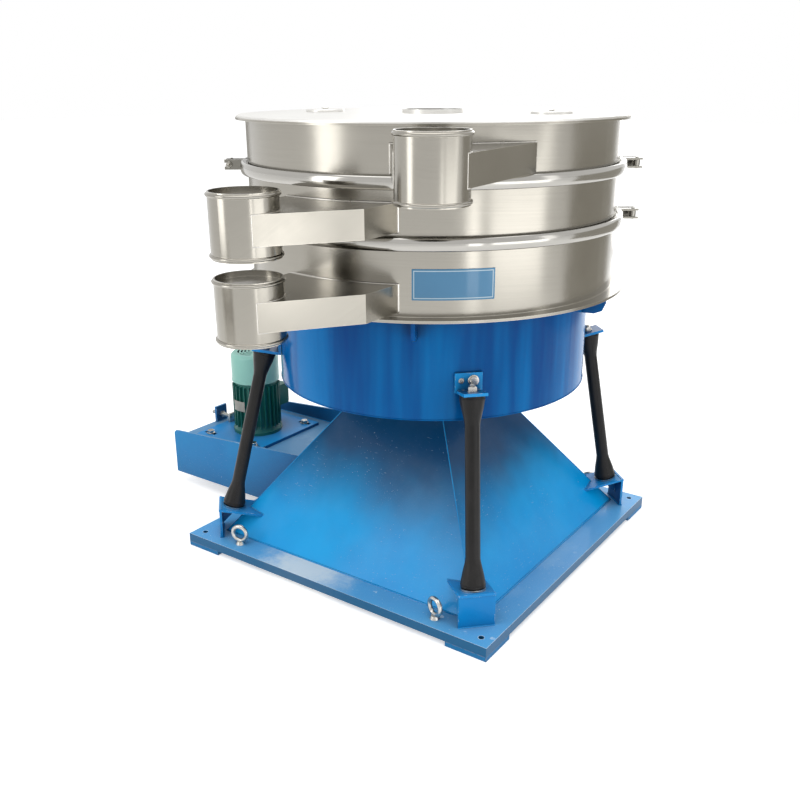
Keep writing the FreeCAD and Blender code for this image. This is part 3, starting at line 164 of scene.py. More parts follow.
def new_group(name, inputs, outputs):
    """An empty shader group with named sockets, as (group, nodes, in, out)."""
    tree = bpy.data.node_groups.new(name, "ShaderNodeTree")
    kinds = {"value": "NodeSocketFloat", "colour": "NodeSocketColor", "vector": "NodeSocketVector"}
    for label, kind, value in inputs:
        socket = tree.interface.new_socket(label, in_out="INPUT", socket_type=kinds[kind])
        socket.default_value = value
    for label, kind in outputs:
        tree.interface.new_socket(label, in_out="OUTPUT", socket_type=kinds[kind])
    made = Nodes(tree)
    return tree, made, made.add("NodeGroupInput").outputs, made.add("NodeGroupOutput").inputs


def edge_wear_and_glint_group():
    """Mask of the edges that hands, slings and forks rub bare; the stainless finishes use it for edges painted bright
    as a highlight.
    """
    tree, n, given, out = new_group(
        "edge_wear_and_glint",
        [("Width", "value", 0.004), ("Break Up", "value", 60.0), ("Amount", "value", 0.5)],
        [("Mask", "value")],
    )
    rounded = n.add("ShaderNodeBevel", samples=4)
    n.join(given["Width"], rounded.inputs["Radius"])
    true = n.add("ShaderNodeNewGeometry")
    facing = n.add("ShaderNodeVectorMath", operation="DOT_PRODUCT")
    n.join(rounded.outputs["Normal"], facing.inputs[0])
    n.join(true.outputs["Normal"], facing.inputs[1])
    edge = n.ramp(facing.outputs["Value"], 0.995, 0.90)
    ragged = n.noise(n.stretched(1, 1, 1), given["Break Up"], 6.0, 0.7)
    threshold = n.math("SUBTRACT", 0.9, n.math("MULTIPLY", given["Amount"], 0.6))
    chipped = n.ramp(ragged, n.math("SUBTRACT", threshold, 0.08), n.math("ADD", threshold, 0.04))
    n.join(n.math("MULTIPLY", edge, chipped), out["Mask"])
    return tree


def dust_group():
    """Mask of fine pale dust and grit, thicker on faces that look up."""
    tree, n, given, out = new_group(
        "settled_dust",
        [("Grit", "value", 300.0), ("Amount", "value", 0.3), ("Up Only", "value", 0.7), ("Haze", "value", 0.25),
         ("Evenness", "value", 0.0)],
        [("Mask", "value")],
    )
    place = n.stretched(1, 1, 1)
    specks = n.ramp(n.noise(place, given["Grit"], 4.0, 0.75), 0.55, 0.74)
    drifts = n.math("MAXIMUM", n.ramp(n.noise(place, 3.2, 5.0, 0.6), 0.38, 0.68), given["Evenness"])
    film = n.math("MULTIPLY", drifts, n.math("ADD", n.math("MULTIPLY", specks, 0.7), given["Haze"]))
    surface = n.add("ShaderNodeNewGeometry")
    parts = n.add("ShaderNodeSeparateXYZ")
    n.join(surface.outputs["Normal"], parts.inputs["Vector"])
    upward = n.ramp(parts.outputs["Z"], 0.0, 0.9)
    turned_up = n.math("SUBTRACT", 1.0, n.math("MULTIPLY", given["Up Only"], n.math("SUBTRACT", 1.0, upward)))
    n.join(n.math("MULTIPLY", n.math("MULTIPLY", film, turned_up), given["Amount"], True), out["Mask"])
    return tree


def rolled_grain_group():
    """Fine grain of polished sheet: round the walls, and in rings on faces that look up."""
    tree, n, given, out = new_group(
        "rolled_grain",
        [("Fineness", "value", 900.0), ("Smudges", "value", 0.5)],
        [("Height", "value"), ("Tone", "value"), ("Roughness", "value")],
    )
    place = n.add("ShaderNodeTexCoord")
    parts = n.add("ShaderNodeSeparateXYZ")
    n.join(place.outputs["Object"], parts.inputs["Vector"])
    flat = n.math("ADD", n.math("MULTIPLY", parts.outputs["X"], parts.outputs["X"]),
                  n.math("MULTIPLY", parts.outputs["Y"], parts.outputs["Y"]))
    rings = n.math("SQRT", flat)
    across = n.math("MULTIPLY", n.math("ADD", rings, parts.outputs["Z"]), given["Fineness"])
    thread = n.add("ShaderNodeCombineXYZ")
    n.join(n.math("MULTIPLY", parts.outputs["X"], 3.0), thread.inputs["X"])
    n.join(n.math("MULTIPLY", parts.outputs["Y"], 3.0), thread.inputs["Y"])
    n.join(across, thread.inputs["Z"])
    lines = n.noise(thread.outputs["Vector"], 1.0, 2.0, 0.6)
    clouds = n.noise(place.outputs["Object"], 5.0, 4.0, 0.6)
    smudge = n.ramp(clouds, 0.35, 0.7)
    n.join(lines, out["Height"])
    n.join(n.math("ADD", n.math("MULTIPLY", lines, 0.6), n.math("MULTIPLY", clouds, 0.4)), out["Tone"])
    n.join(n.math("MULTIPLY", smudge, given["Smudges"]), out["Roughness"])
    return tree


def sheet_wave_group():
    """Height of the slow hollows in rolled and welded sheet, with the fine skin of its finish."""
    tree, n, given, out = new_group(
        "sheet_wave",
        [("Hollows", "value", 2.5), ("Skin", "value", 220.0), ("Skin Depth", "value", 0.02)],
        [("Height", "value")],
    )
    place = n.stretched(1, 1, 1)
    slow = n.noise(place, given["Hollows"], 1.0, 0.4)
    fine = n.noise(place, given["Skin"], 2.0, 0.5)
    n.join(n.math("ADD", slow, n.math("MULTIPLY", fine, given["Skin Depth"])), out["Height"])
    return tree


def painted_corner_shade_group():
    """Mask of tight corners and covered faces that ambient light hardly reaches, for painted shade: the paint is
    darkened there.
    """
    tree, n, given, out = new_group("painted_corner_shade", [("Reach", "value", 0.3)], [("Mask", "value")])
    openness = n.add("ShaderNodeAmbientOcclusion", samples=8)
    n.join(given["Reach"], openness.inputs["Distance"])
    n.join(n.ramp(openness.outputs["AO"], 0.85, 0.25), out["Mask"])
    return tree


def painted_side_shade_group():
    """Mask of upright faces, soft where a fold turns over to level, for painted shade on the sides."""
    tree, n, given, out = new_group("painted_side_shade", [("Amount", "value", 1.0)], [("Mask", "value")])
    surface = n.add("ShaderNodeNewGeometry")
    parts = n.add("ShaderNodeSeparateXYZ")
    n.join(surface.outputs["Normal"], parts.inputs["Vector"])
    upright = n.ramp(n.math("ABSOLUTE", parts.outputs["Z"], 0.0), 0.75, 0.25)
    n.join(n.math("MULTIPLY", upright, given["Amount"]), out["Mask"])
    return tree


def painted_drum_shadow_group():
    """Mask of painted shadow that rises up a wall to where the drum covers it, with a cloudy, uneven edge."""
    tree, n, given, out = new_group(
        "painted_drum_shadow", [("Low", "value", 0.2), ("High", "value", 0.5)], [("Mask", "value")])
    place = n.stretched(1, 1, 1)
    parts = n.add("ShaderNodeSeparateXYZ")
    n.join(place, parts.inputs["Vector"])
    cloud = n.math("SUBTRACT", n.noise(place, 3.4, 3.0, 0.6), 0.5)
    level = n.math("ADD", parts.outputs["Z"], n.math("MULTIPLY", cloud, 0.16))
    n.join(n.ramp(level, given["Low"], given["High"]), out["Mask"])
    return tree


def stray_marks_group():
    """Mask of sparse pale specks and short fine scratches."""
    tree, n, given, out = new_group("stray_marks", [("Amount", "value", 0.5)], [("Mask", "value")])
    place = n.stretched(1, 1, 1)
    where = n.ramp(n.noise(place, 5.0, 3.0, 0.6), 0.46, 0.62)
    specks = n.ramp(n.noise(place, 230.0, 1.0, 0.4), 0.73, 0.78)
    scratches = n.ramp(n.noise(n.stretched(30, 30, 420), 1.0, 2.0, 0.5), 0.70, 0.75)
    marks = n.math("MULTIPLY", n.math("MAXIMUM", specks, n.math("MULTIPLY", scratches, 0.7)), where)
    n.join(n.math("MULTIPLY", marks, given["Amount"], True), out["Mask"])
    return tree


def scuff_and_reflection_patch_group():
    """Mask of one pale patch where loads are set down: scuffed paint, brightened into a painted reflection of a lamp,
    frosty in its middle and ragged at its rim.
    """
    tree, n, given, out = new_group(
        "scuff_and_reflection_patch", [("Centre", "vector", (0, 0, 0)), ("Reach", "value", 0.2)], [("Mask", "value")])
    place = n.stretched(1, 1, 1)
    away = n.add("ShaderNodeVectorMath", operation="DISTANCE")
    n.join(place, away.inputs[0])
    n.join(given["Centre"], away.inputs[1])
    ragged = n.math("MULTIPLY", n.noise(place, 22.0, 6.0, 0.75), given["Reach"])
    rim = n.math("ADD", away.outputs["Value"], ragged)
    far, near = n.math("MULTIPLY", given["Reach"], 1.6), n.math("MULTIPLY", given["Reach"], 0.75)
    n.join(n.ramp(rim, far, near), out["Mask"])
    return tree


EDGE_WEAR_AND_GLINT = edge_wear_and_glint_group()
PAINTED_CORNER_SHADE = painted_corner_shade_group()
PAINTED_DRUM_SHADOW = painted_drum_shadow_group()
PAINTED_SIDE_SHADE = painted_side_shade_group()
STRAY_MARKS = stray_marks_group()
SCUFF_AND_REFLECTION_PATCH = scuff_and_reflection_patch_group()
SETTLED_DUST = dust_group()
ROLLED_GRAIN = rolled_grain_group()
SHEET_WAVE = sheet_wave_group()


def finish(name, metallic=0.0, **plain):
    """A material with its Principled shader, as (material, nodes, shader)."""
    made = bpy.data.materials.new(name)
    made.use_nodes = True
    n = Nodes(made.node_tree)
    shader = made.node_tree.nodes["Principled BSDF"]
    shader.inputs["Metallic"].default_value = metallic
    for label, value in plain.items():
        shader.inputs[label.replace("_", " ")].default_value = value
    return made, n, shader


def placed(n, group, **values):
    """One use of a shader group with its own values."""
    node = n.add("ShaderNodeGroup", node_tree=group)
    for label, value in values.items():
        n.feed(node.inputs[label.replace("_", " ")], value)
    return node.outputs


def bumped(n, shader, layers):
    """Chain bumps, given as (height, distance in metres, strength), into the shader's normal."""
    last = None
    for height, distance, strength in layers:
        bump = n.add("ShaderNodeBump")
        bump.inputs["Distance"].default_value = distance
        bump.inputs["Strength"].default_value = strength
        n.join(height, bump.inputs["Height"])
        if last is not None:
            n.join(last, bump.inputs["Normal"])
        last = bump.outputs["Normal"]
    n.join(last, shader.inputs["Normal"])


def stainless(name, tone, roughness, smudges=0.06, wave=0.22, fineness=900.0, edge=0.0016, glint=2.1):
    """Satin stainless sheet with soft grain, faint smudges and edges painted bright as a highlight."""
    made, n, shader = finish(name, metallic=1.0)
    grain = placed(n, ROLLED_GRAIN, Fineness=fineness, Smudges=smudges)
    # Painted highlight on the edges: their colour is the tone times glint.
    wear_and_highlight = placed(n, EDGE_WEAR_AND_GLINT, Width=edge, Break_Up=20.0, Amount=1.5)
    dark = tuple(0.96 * c for c in tone) + (1.0,)
    light = tuple(min(1.0, 1.05 * c) for c in tone) + (1.0,)
    bright = tuple(min(1.0, glint * c) for c in tone) + (1.0,)
    body = n.blend(n.ramp(grain["Tone"], 0.35, 0.65), dark, light)
    n.join(n.blend(n.math("MULTIPLY", wear_and_highlight["Mask"], 0.8), body, bright), shader.inputs["Base Color"])
    n.join(n.math("ADD", grain["Roughness"], roughness), shader.inputs["Roughness"])
    waves = placed(n, SHEET_WAVE, Hollows=2.2, Skin=160.0, Skin_Depth=0.002)
    bumped(n, shader, [(waves["Height"], 0.01, wave), (grain["Height"], 0.0001, 0.10)])
    return made


DUST_TONE = (0.62, 0.70, 0.77, 1.0)
# The navy that painted shade and the drum's painted shadow blend towards.
PAINTED_SHADE_NAVY = (0.003, 0.040, 0.125, 1.0)
# How dark the painted shade on upright faces is, as a share of the deep tone.
SIDE_SHADE_DEPTH = 0.34


def paint(name, colour, deep, worn, roughness=0.3, coat=0.1, gloss=0.2, wear=0.5, dust=0.3, grit=300.0, up_only=0.7,
          wave=0.3, haze=0.25, evenness=0.0, film_tone=DUST_TONE, tone_and_reflection_streaks=(2.4, 2.4, 2.4), shade=None,
          shade_amount=0.0, reach=0.3, drum_shadow_heights=None, marks=0.0, scuffed_reflection_patch=None, contrast=(0.3, 0.72), upright=0.0):
    """Shop paint over steel: a soft coat, uneven tone, scuffed edges and settled dust; where asked, painted shade in
    corners and on upright faces, a painted shadow of the drum, a pale patch of painted reflection, and painted
    reflection streaks.
    """
    made, n, shader = finish(name, Coat_Weight=coat, Coat_Roughness=0.08, Specular_IOR_Level=gloss)
    # Random tone; stretched tall, as on the drum, it becomes painted reflections in light and dark streaks.
    tone = n.noise(n.stretched(*tone_and_reflection_streaks), 1.0, 4.0, 0.6)
    coated = n.blend(n.ramp(tone, *contrast), colour, deep)
    # Painted shadow of the drum: the paint is darker towards the top of the wall.
    if drum_shadow_heights is not None:
        low, high = drum_shadow_heights
        drum_shadow = placed(n, PAINTED_DRUM_SHADOW, Low=low, High=high)
        coated = n.blend(n.math("MULTIPLY", drum_shadow["Mask"], shade_amount), coated, shade)
    # Painted shade: the paint is darkened in corners and under covers, by ambient occlusion.
    elif shade is not None:
        corners = placed(n, PAINTED_CORNER_SHADE, Reach=reach)
        coated = n.blend(n.math("MULTIPLY", corners["Mask"], shade_amount), coated, shade)
    if marks:
        stray = placed(n, STRAY_MARKS, Amount=marks)
        coated = n.blend(stray["Mask"], coated, worn)
    chips = placed(n, EDGE_WEAR_AND_GLINT, Width=0.004, Break_Up=70.0, Amount=wear)
    film = placed(n, SETTLED_DUST, Grit=grit, Amount=dust, Up_Only=up_only, Haze=haze, Evenness=evenness)
    scuffed = n.blend(chips["Mask"], coated, worn)
    # Painted reflection: a pale, scuffed patch, brightened to stand for a lamp's reflection.
    if scuffed_reflection_patch is not None:
        centre, width, amount = scuffed_reflection_patch
        wear_and_highlight = placed(n, SCUFF_AND_REFLECTION_PATCH, Centre=centre, Reach=width)
        scuffed = n.blend(n.math("MULTIPLY", wear_and_highlight["Mask"], amount), scuffed, worn)
    # Painted shade: upright faces are darker than the top.
    if upright:
        walls = placed(n, PAINTED_SIDE_SHADE, Amount=upright)
        scuffed = n.blend(walls["Mask"], scuffed, tuple(SIDE_SHADE_DEPTH * c for c in deep[:3]) + (1.0,))
    n.join(n.blend(film["Mask"], scuffed, film_tone), shader.inputs["Base Color"])
    dull = n.math("ADD", n.math("MULTIPLY", film["Mask"], 0.45), roughness)
    n.join(n.math("ADD", dull, n.math("MULTIPLY", chips["Mask"], 0.2)), shader.inputs["Roughness"])
    skin = placed(n, SHEET_WAVE, Hollows=3.0, Skin=240.0, Skin_Depth=0.012)
    bumped(n, shader, [(skin["Height"], 0.012, wave)])
    return made


def rubber(name, colour, roughness, dust):
    """Moulded rubber with a dry bloom and pale handling scuffs."""
    made, n, shader = finish(name, Specular_IOR_Level=0.2)
    film = placed(n, SETTLED_DUST, Grit=180.0, Amount=dust, Up_Only=0.1)
    tone = n.noise(n.stretched(1, 1, 0.25), 26.0, 5.0, 0.65)
    bloom = n.blend(n.ramp(tone, 0.35, 0.75), colour, tuple(1.9 * c for c in colour[:3]) + (1.0,))
    n.join(n.blend(film["Mask"], bloom, (0.34, 0.31, 0.28, 1.0)), shader.inputs["Base Color"])
    n.join(n.ramp(tone, 0.2, 0.8, roughness - 0.07, roughness + 0.12), shader.inputs["Roughness"])
    skin = placed(n, SHEET_WAVE, Hollows=14.0, Skin=420.0, Skin_Depth=0.15)
    bumped(n, shader, [(skin["Height"], 0.002, 0.35)])
    return made


def machined(name, tone, roughness, stain):
    """Turned or cast metal with tool marks and a stained film."""
    made, n, shader = finish(name, metallic=1.0)
    grain = placed(n, ROLLED_GRAIN, Fineness=1500.0, Smudges=0.2)
    patches = n.ramp(n.noise(n.stretched(1, 1, 1), 18.0, 5.0, 0.65), 0.45, 0.75)
    n.join(n.blend(n.math("MULTIPLY", patches, stain), tone, tuple(0.45 * c for c in tone[:3]) + (1.0,)),
           shader.inputs["Base Color"])
    n.join(n.math("ADD", grain["Roughness"], roughness), shader.inputs["Roughness"])
    bumped(n, shader, [(grain["Height"], 0.0003, 0.3)])
    return made


def woven_wire(name):
    """Screen cloth: a fine square weave, with the gaps between its wires painted dark as shade."""
    made, n, shader = finish(name, metallic=1.0, Roughness=0.35)
    place = n.stretched(1, 1, 1)
    warp = n.add("ShaderNodeTexWave", bands_direction="X", wave_profile="SIN")
    weft = n.add("ShaderNodeTexWave", bands_direction="Y", wave_profile="SIN")
    for wires in (warp, weft):
        n.join(place, wires.inputs["Vector"])
        wires.inputs["Scale"].default_value = 120.0
    either = n.math("MAXIMUM", warp.outputs["Fac"], weft.outputs["Fac"])
    n.join(n.blend(n.ramp(either, 0.4, 0.9), (0.03, 0.03, 0.03, 1.0), (0.55, 0.54, 0.52, 1.0)),
           shader.inputs["Base Color"])
    bumped(n, shader, [(either, 0.0006, 0.6)])
    return made


STAINLESS_TONE = (0.338, 0.321, 0.284)
finishes = {
    # The blue paint gets painted shade in its corners.
    "blue_paint": paint("azure_shop_paint", (0.000, 0.310, 0.740, 1), (0.000, 0.250, 0.650, 1), (0.50, 0.64, 0.74, 1),
                        roughness=0.34, dust=0.22, shade=PAINTED_SHADE_NAVY, shade_amount=0.85),
    "stainless": stainless("satin_stainless", STAINLESS_TONE, 0.19),
    "stainless_bolt": stainless("bright_stainless_fixings", (0.46, 0.44, 0.40), 0.22, fineness=2500.0, glint=1.6),
    "mesh": woven_wire("screen_cloth"),
    "gasket_rubber": rubber("pale_seal_rubber", (0.34, 0.33, 0.31, 1), 0.55, 0.1),
    "strut_rubber": rubber("strut_rubber", (0.0085, 0.008, 0.008, 1), 0.33, 0.08),
    "belt_rubber": rubber("belt_rubber", (0.010, 0.010, 0.011, 1), 0.6, 0.2),
    "zinc_steel": machined("zinc_plated_steel", (0.56, 0.55, 0.52, 1), 0.17, 0.45),
    "machined_steel": machined("turned_steel", (0.42, 0.42, 0.42, 1), 0.3, 0.4),
    "cast_iron": machined("cast_iron", (0.10, 0.10, 0.105, 1), 0.55, 0.6),
    "motor_green": paint("motor_green_paint", (0.010, 0.165, 0.130, 1), (0.008, 0.12, 0.098, 1),
                         (0.35, 0.42, 0.38, 1), dust=0.25, wear=0.3),
    "cover_green": paint("fan_cover_mint_paint", (0.30, 0.60, 0.52, 1), (0.26, 0.54, 0.47, 1),
                         (0.5, 0.6, 0.55, 1), dust=0.15, wear=0.3),
    "fan_plastic": rubber("fan_plastic", (0.02, 0.02, 0.022, 1), 0.45, 0.1),
}
# The base's blue is a lighter copy of the machine's paint, matched to its lit top; its corners and upright faces get
# painted shade and its top a painted reflection patch, over real wear and dust.
base_paint_wear_and_painted_light = paint("base_paint_wear_and_painted_light", (0.006, 0.370, 0.800, 1), (0.003, 0.300, 0.700, 1), (0.84, 0.93, 0.97, 1),
                        roughness=0.34, wear=1.1, dust=0.85, grit=620.0, up_only=0.95, haze=0.34, evenness=0.6,
                        film_tone=(0.58, 0.78, 0.90, 1), shade=PAINTED_SHADE_NAVY, shade_amount=0.6, reach=0.12, marks=0.8,
                        scuffed_reflection_patch=((-0.11, -0.55, BASE_TOP), 0.20, 0.95), upright=0.96)
# The pads get painted shade on their upright faces.
pad_paint = paint("scraped_pad_paint", (0.004, 0.270, 0.620, 1), (0.002, 0.190, 0.470, 1), (0.42, 0.30, 0.24, 1),
                  roughness=0.5, wear=0.7, dust=0.3, upright=0.4)
# The pyramid's blue is a lighter copy of the machine's paint, matched to its lit lower faces; its top gets the drum's
# painted shadow.
pyramid_paint = paint("pyramid_paint", (0.000, 0.400, 0.860, 1), (0.000, 0.310, 0.740, 1), (0.50, 0.66, 0.78, 1),
                      roughness=0.30, coat=0.12, dust=0.16, shade=PAINTED_SHADE_NAVY, shade_amount=0.92, drum_shadow_heights=(0.15, 0.41),
                      marks=0.6, wave=0.5)
# The channel's blue is a darker copy of the machine's paint, painted shade for its shaded side plates; its corners get
# painted shade too.
channel_paint = paint("channel_paint", (0.000, 0.235, 0.540, 1), (0.000, 0.180, 0.460, 1), (0.50, 0.64, 0.74, 1),
                      roughness=0.34, dust=0.75, up_only=0.95, haze=0.5, evenness=0.6, film_tone=(0.54, 0.78, 0.92, 1),
                      shade=PAINTED_SHADE_NAVY, shade_amount=0.85, marks=0.3)
# The weld beads get painted shade in their corners.
weld_paint = paint("painted_weld", (0.000, 0.310, 0.700, 1), (0.000, 0.250, 0.620, 1), (0.50, 0.64, 0.74, 1),
                   roughness=0.25, coat=0.3, wear=0.0, dust=0.15, shade=PAINTED_SHADE_NAVY, shade_amount=0.7, reach=0.1)
# The drum's blue is a darker copy with light and dark streaks painted as reflections; its corners get painted shade.
drum_paint = paint("glossy_drum_paint", (0.000, 0.185, 0.510, 1), (0.000, 0.062, 0.260, 1), (0.45, 0.60, 0.70, 1),
                   roughness=0.16, coat=0.04, gloss=0.07, wear=0.25, dust=0.05, wave=0.5, tone_and_reflection_streaks=(4.6, 4.6, 0.4),
                   contrast=(0.36, 0.64), shade=PAINTED_SHADE_NAVY, shade_amount=0.9, reach=0.10)
polished_band = stainless("polished_clamp_band", (0.42, 0.408, 0.380), 0.12, smudges=0.05, wave=0.08, glint=1.5)
# The closure lugs and bolts are darker copies of the stainless, painted shade against the lamps' reflections, with
# edges painted bright as a highlight.
closure_steel = stainless("closure_lug_steel", (0.200, 0.192, 0.170), 0.24, smudges=0.1, glint=3.2)
closure_bolt_steel = stainless("closure_bolt_steel", (0.260, 0.250, 0.225), 0.20, fineness=2500.0, glint=2.8)
polished_weld = stainless("bright_weld_beads", (0.62, 0.60, 0.56), 0.22, smudges=0.1, wave=0.0, glint=1.2)
# The lid's steel is a much lighter copy of the satin stainless, painted light for its brightly lit top.
lid_steel = stainless("bright_lid_steel", (0.74, 0.73, 0.70), 0.35, smudges=0.05, wave=0.1, glint=1.0)
rating_plate_steel = stainless("dull_rating_plate", (0.26, 0.26, 0.24), 0.38, smudges=0.1, wave=0.05, glint=1.2)

nameplate_enamel = paint("nameplate_enamel", (0.085, 0.260, 0.450, 1), (0.070, 0.230, 0.410, 1), (0.5, 0.6, 0.7, 1),
                         roughness=0.25, coat=0.5, wear=0.1, dust=0.05, wave=0.05)
border_enamel = paint("nameplate_border_enamel", (0.50, 0.66, 0.74, 1), (0.46, 0.62, 0.72, 1), (0.6, 0.7, 0.7, 1),
                      roughness=0.3, coat=0.4, wear=0.1, dust=0.05, wave=0.05)

# Mesh shapes that several pieces are made from.


def lathe(bm, profile, steps=96, centre=(0, 0, 0), closed=True):
    """Turn a profile of (radius, height) about Z."""
    rings = []
    for i in range(steps):
        angle = FULL_TURN * i / steps
        ring = [bm.verts.new((centre[0] + r * math.cos(angle), centre[1] + r * math.sin(angle), centre[2] + z))
                for r, z in profile]
        rings.append(ring)
    count = len(profile)
    spans = count if closed else count - 1
    for i in range(steps):
        here, there = rings[i], rings[(i + 1) % steps]
        for k in range(spans):
            following = (k + 1) % count
            corners = [here[k], there[k], there[following], here[following]]
            bm.faces.new(corners)


def bead(bm, path, radius, closed=False, ripple=0.12, pitch=0.004, sides=8):
    """A weld run along a path, with the small overlapping ripples of its drops."""
    points = resampled([Vector(p) for p in path], pitch / 2, closed)
    count = len(points)
    rings = []
    side = None
    for i, point in enumerate(points):
        before = points[i - 1] if i or closed else points[0]
        after = points[(i + 1) % count] if i + 1 < count or closed else points[-1]
        along = (after - before).normalized()
        if side is None:
            side = along.orthogonal().normalized()
        side = (side - along * side.dot(along)).normalized()
        other = along.cross(side)
        swell = radius * (1 + ripple * (1 if i % 2 else -1))
        rings.append([bm.verts.new(point + swell * (side * math.cos(a) + other * math.sin(a)))
                      for a in (FULL_TURN * k / sides for k in range(sides))])
    last = count if closed else count - 1
    for i in range(last):
        here, there = rings[i], rings[(i + 1) % count]
        for k in range(sides):
            following = (k + 1) % sides
            bm.faces.new([here[k], here[following], there[following], there[k]])
    if not closed:
        bm.faces.new(list(reversed(rings[0])))
        bm.faces.new(rings[-1])


def resampled(points, step, closed):
    """The same path with evenly spaced points."""
    if closed:
        points = points + points[:1]
    spaced = [points[0]]
    for start, end in zip(points, points[1:]):
        length = (end - start).length
        parts = max(1, round(length / step))
        spaced += [start.lerp(end, k / parts) for k in range(1, parts + 1)]
    return spaced[:-1] if closed else spaced


def hex_block(bm, across, height, place, chamfer=True, steps=4):
    """A nut or bolt head: a hexagon with its corners turned off, on place's XY plane."""
    apothem = across / 2
    corner = apothem / math.cos(math.pi / 6)
    outline = []
    for k in range(6 * steps):
        angle = FULL_TURN * k / (6 * steps)
        bay = (angle % (math.pi / 3)) - math.pi / 6
        outline.append((angle, apothem / math.cos(bay)))
    turned_off = apothem * 0.96
    drop = math.tan(math.radians(30))

    def ring(level, shrink):
        made = []
        for angle, reach in outline:
            radius = min(reach, turned_off) if shrink else reach
            fall = 0 if shrink else max(0.0, reach - turned_off) * drop
            z = level - fall if level > 0 else level + fall
            made.append(bm.verts.new(place @ Vector((radius * math.cos(angle), radius * math.sin(angle), z))))
        return made

    rings = [ring(height, True), ring(height, False)] if chamfer else [ring(height, False)]
    rings.append([bm.verts.new(place @ Vector((reach * math.cos(a), reach * math.sin(a), 0))) for a, reach in outline])
    bm.faces.new(rings[0])
    for upper, lower in zip(rings, rings[1:]):
        for k in range(len(upper)):
            following = (k + 1) % len(upper)
            bm.faces.new([upper[k], lower[k], lower[following], upper[following]])
    bm.faces.new(list(reversed(rings[-1])))
    return corner


def disc(bm, radius, height, place, steps=40, hole=0.0, round_off=0.15):
    """A washer or short round boss with softened rims."""
    soft = min(height, radius) * round_off
    profile = [(hole, 0), (radius - soft, 0), (radius, soft), (radius, height - soft), (radius - soft, height),
               (hole, height)]
    start = len(bm.verts)
    if hole:
        lathe(bm, profile, steps)
    else:
        lathe(bm, [(0.0001, 0)] + profile[1:-1] + [(0.0001, height)], steps)
    bm.verts.ensure_lookup_table()
    for vertex in bm.verts[start:]:
        vertex.co = place @ vertex.co


def threaded(bm, radius, length, pitch, place, steps=28, depth=0.55):
    """A screwed rod along place's Z with a real helical thread and a chamfered tip."""
    per_turn = 6
    rows = max(2, int(length / pitch * per_turn))
    rings = []
    for j in range(rows + 1):
        z = length * j / rows
        ring = []
        for k in range(steps):
            phase = (z / pitch - k / steps) % 1.0
            cut_in = depth * pitch * abs(2 * phase - 1)
            tip = max(0.0, z - (length - pitch * 1.2)) * 0.8
            reach = max(radius * 0.5, radius - cut_in - tip)
            angle = FULL_TURN * k / steps
            ring.append(bm.verts.new(place @ Vector((reach * math.cos(angle), reach * math.sin(angle), z))))
        rings.append(ring)
    for here, there in zip(rings, rings[1:]):
        for k in range(steps):
            following = (k + 1) % steps
            bm.faces.new([here[k], here[following], there[following], there[k]])
    bm.faces.new(list(reversed(rings[0])))
    bm.faces.new(rings[-1])


def box_block(bm, low, high, place=Matrix.Identity(4)):
    """A block between two corners."""
    made = bmesh.ops.create_cube(bm, size=1.0)["verts"]
    low, high = Vector(low), Vector(high)
    middle, size = (low + high) / 2, high - low
    for vertex in made:
        vertex.co = place @ (middle + Vector(vertex.co[i] * size[i] for i in range(3)))
    return made


def piece(name, bm, material, body, place=None, soft_edge=0.0, segments=2, smooth_angle=35):
    """Finish a mesh as a piece of the machine that rides on a body."""
    bmesh.ops.recalc_face_normals(bm, faces=bm.faces)
    mesh = bpy.data.meshes.new(name)
    bm.to_mesh(mesh)
    bm.free()
    if place is not None:
        mesh.transform(place)
    made = bpy.data.objects.new(name, mesh)
    bpy.context.scene.collection.objects.link(made)
    mesh.materials.append(material)
    mesh.polygons.foreach_set("use_smooth", [True] * len(mesh.polygons))
    mesh.set_sharp_from_angle(angle=math.radians(smooth_angle))
    if soft_edge:
        rounding = made.modifiers.new("softened_edges", "BEVEL")
        rounding.width = soft_edge
        rounding.segments = segments
        rounding.limit_method = "ANGLE"
        rounding.angle_limit = math.radians(40)
        rounding.harden_normals = False
    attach(made, body)
    return made


def turned_to(azimuth):
    return Matrix.Rotation(math.radians(azimuth), 4, "Z")


def on_wall(radius, azimuth, height):
    angle = math.radians(azimuth)
    return Vector((radius * math.cos(angle), radius * math.sin(angle), height))


def along_wall(radius, start, end, height, step=1.0):
    """Points along an arc of a round wall, from one azimuth to another."""
    count = max(2, int(abs(end - start) / step))
    return [on_wall(radius, start + (end - start) * i / count, height) for i in range(count + 1)]


# Finishes on the CAD nodes.

own_finish = {"base_frame": base_paint_wear_and_painted_light, "base_pads": pad_paint, "pedestal": pyramid_paint,
              "motor_channel": channel_paint, "drum_shell": drum_paint, "lid": lid_steel,
              "port_cap_left": lid_steel, "port_cap_right": lid_steel, "lower_clamp_band": closure_steel,
              "upper_clamp_band": closure_steel}
node_slot = {entry["node"]: entry["material_slot"] for entry in frame["record"]["subparts"]}
for name, node in nodes.items():
    material = own_finish.get(name) or finishes[node_slot[name]]
    if not node.material_slots:
        node.data.materials.append(material)
    for place in node.material_slots:
        place.material = material

# Welds on the blue base.


def pedestal_half(height):
    """Half the pyramid's width at a height."""
    rise = (height - BASE_TOP) / (CAP_BOTTOM - BASE_TOP)
    return (PEDESTAL_FOOT + (PEDESTAL_TOP_SIDE - PEDESTAL_FOOT) * rise) / 2


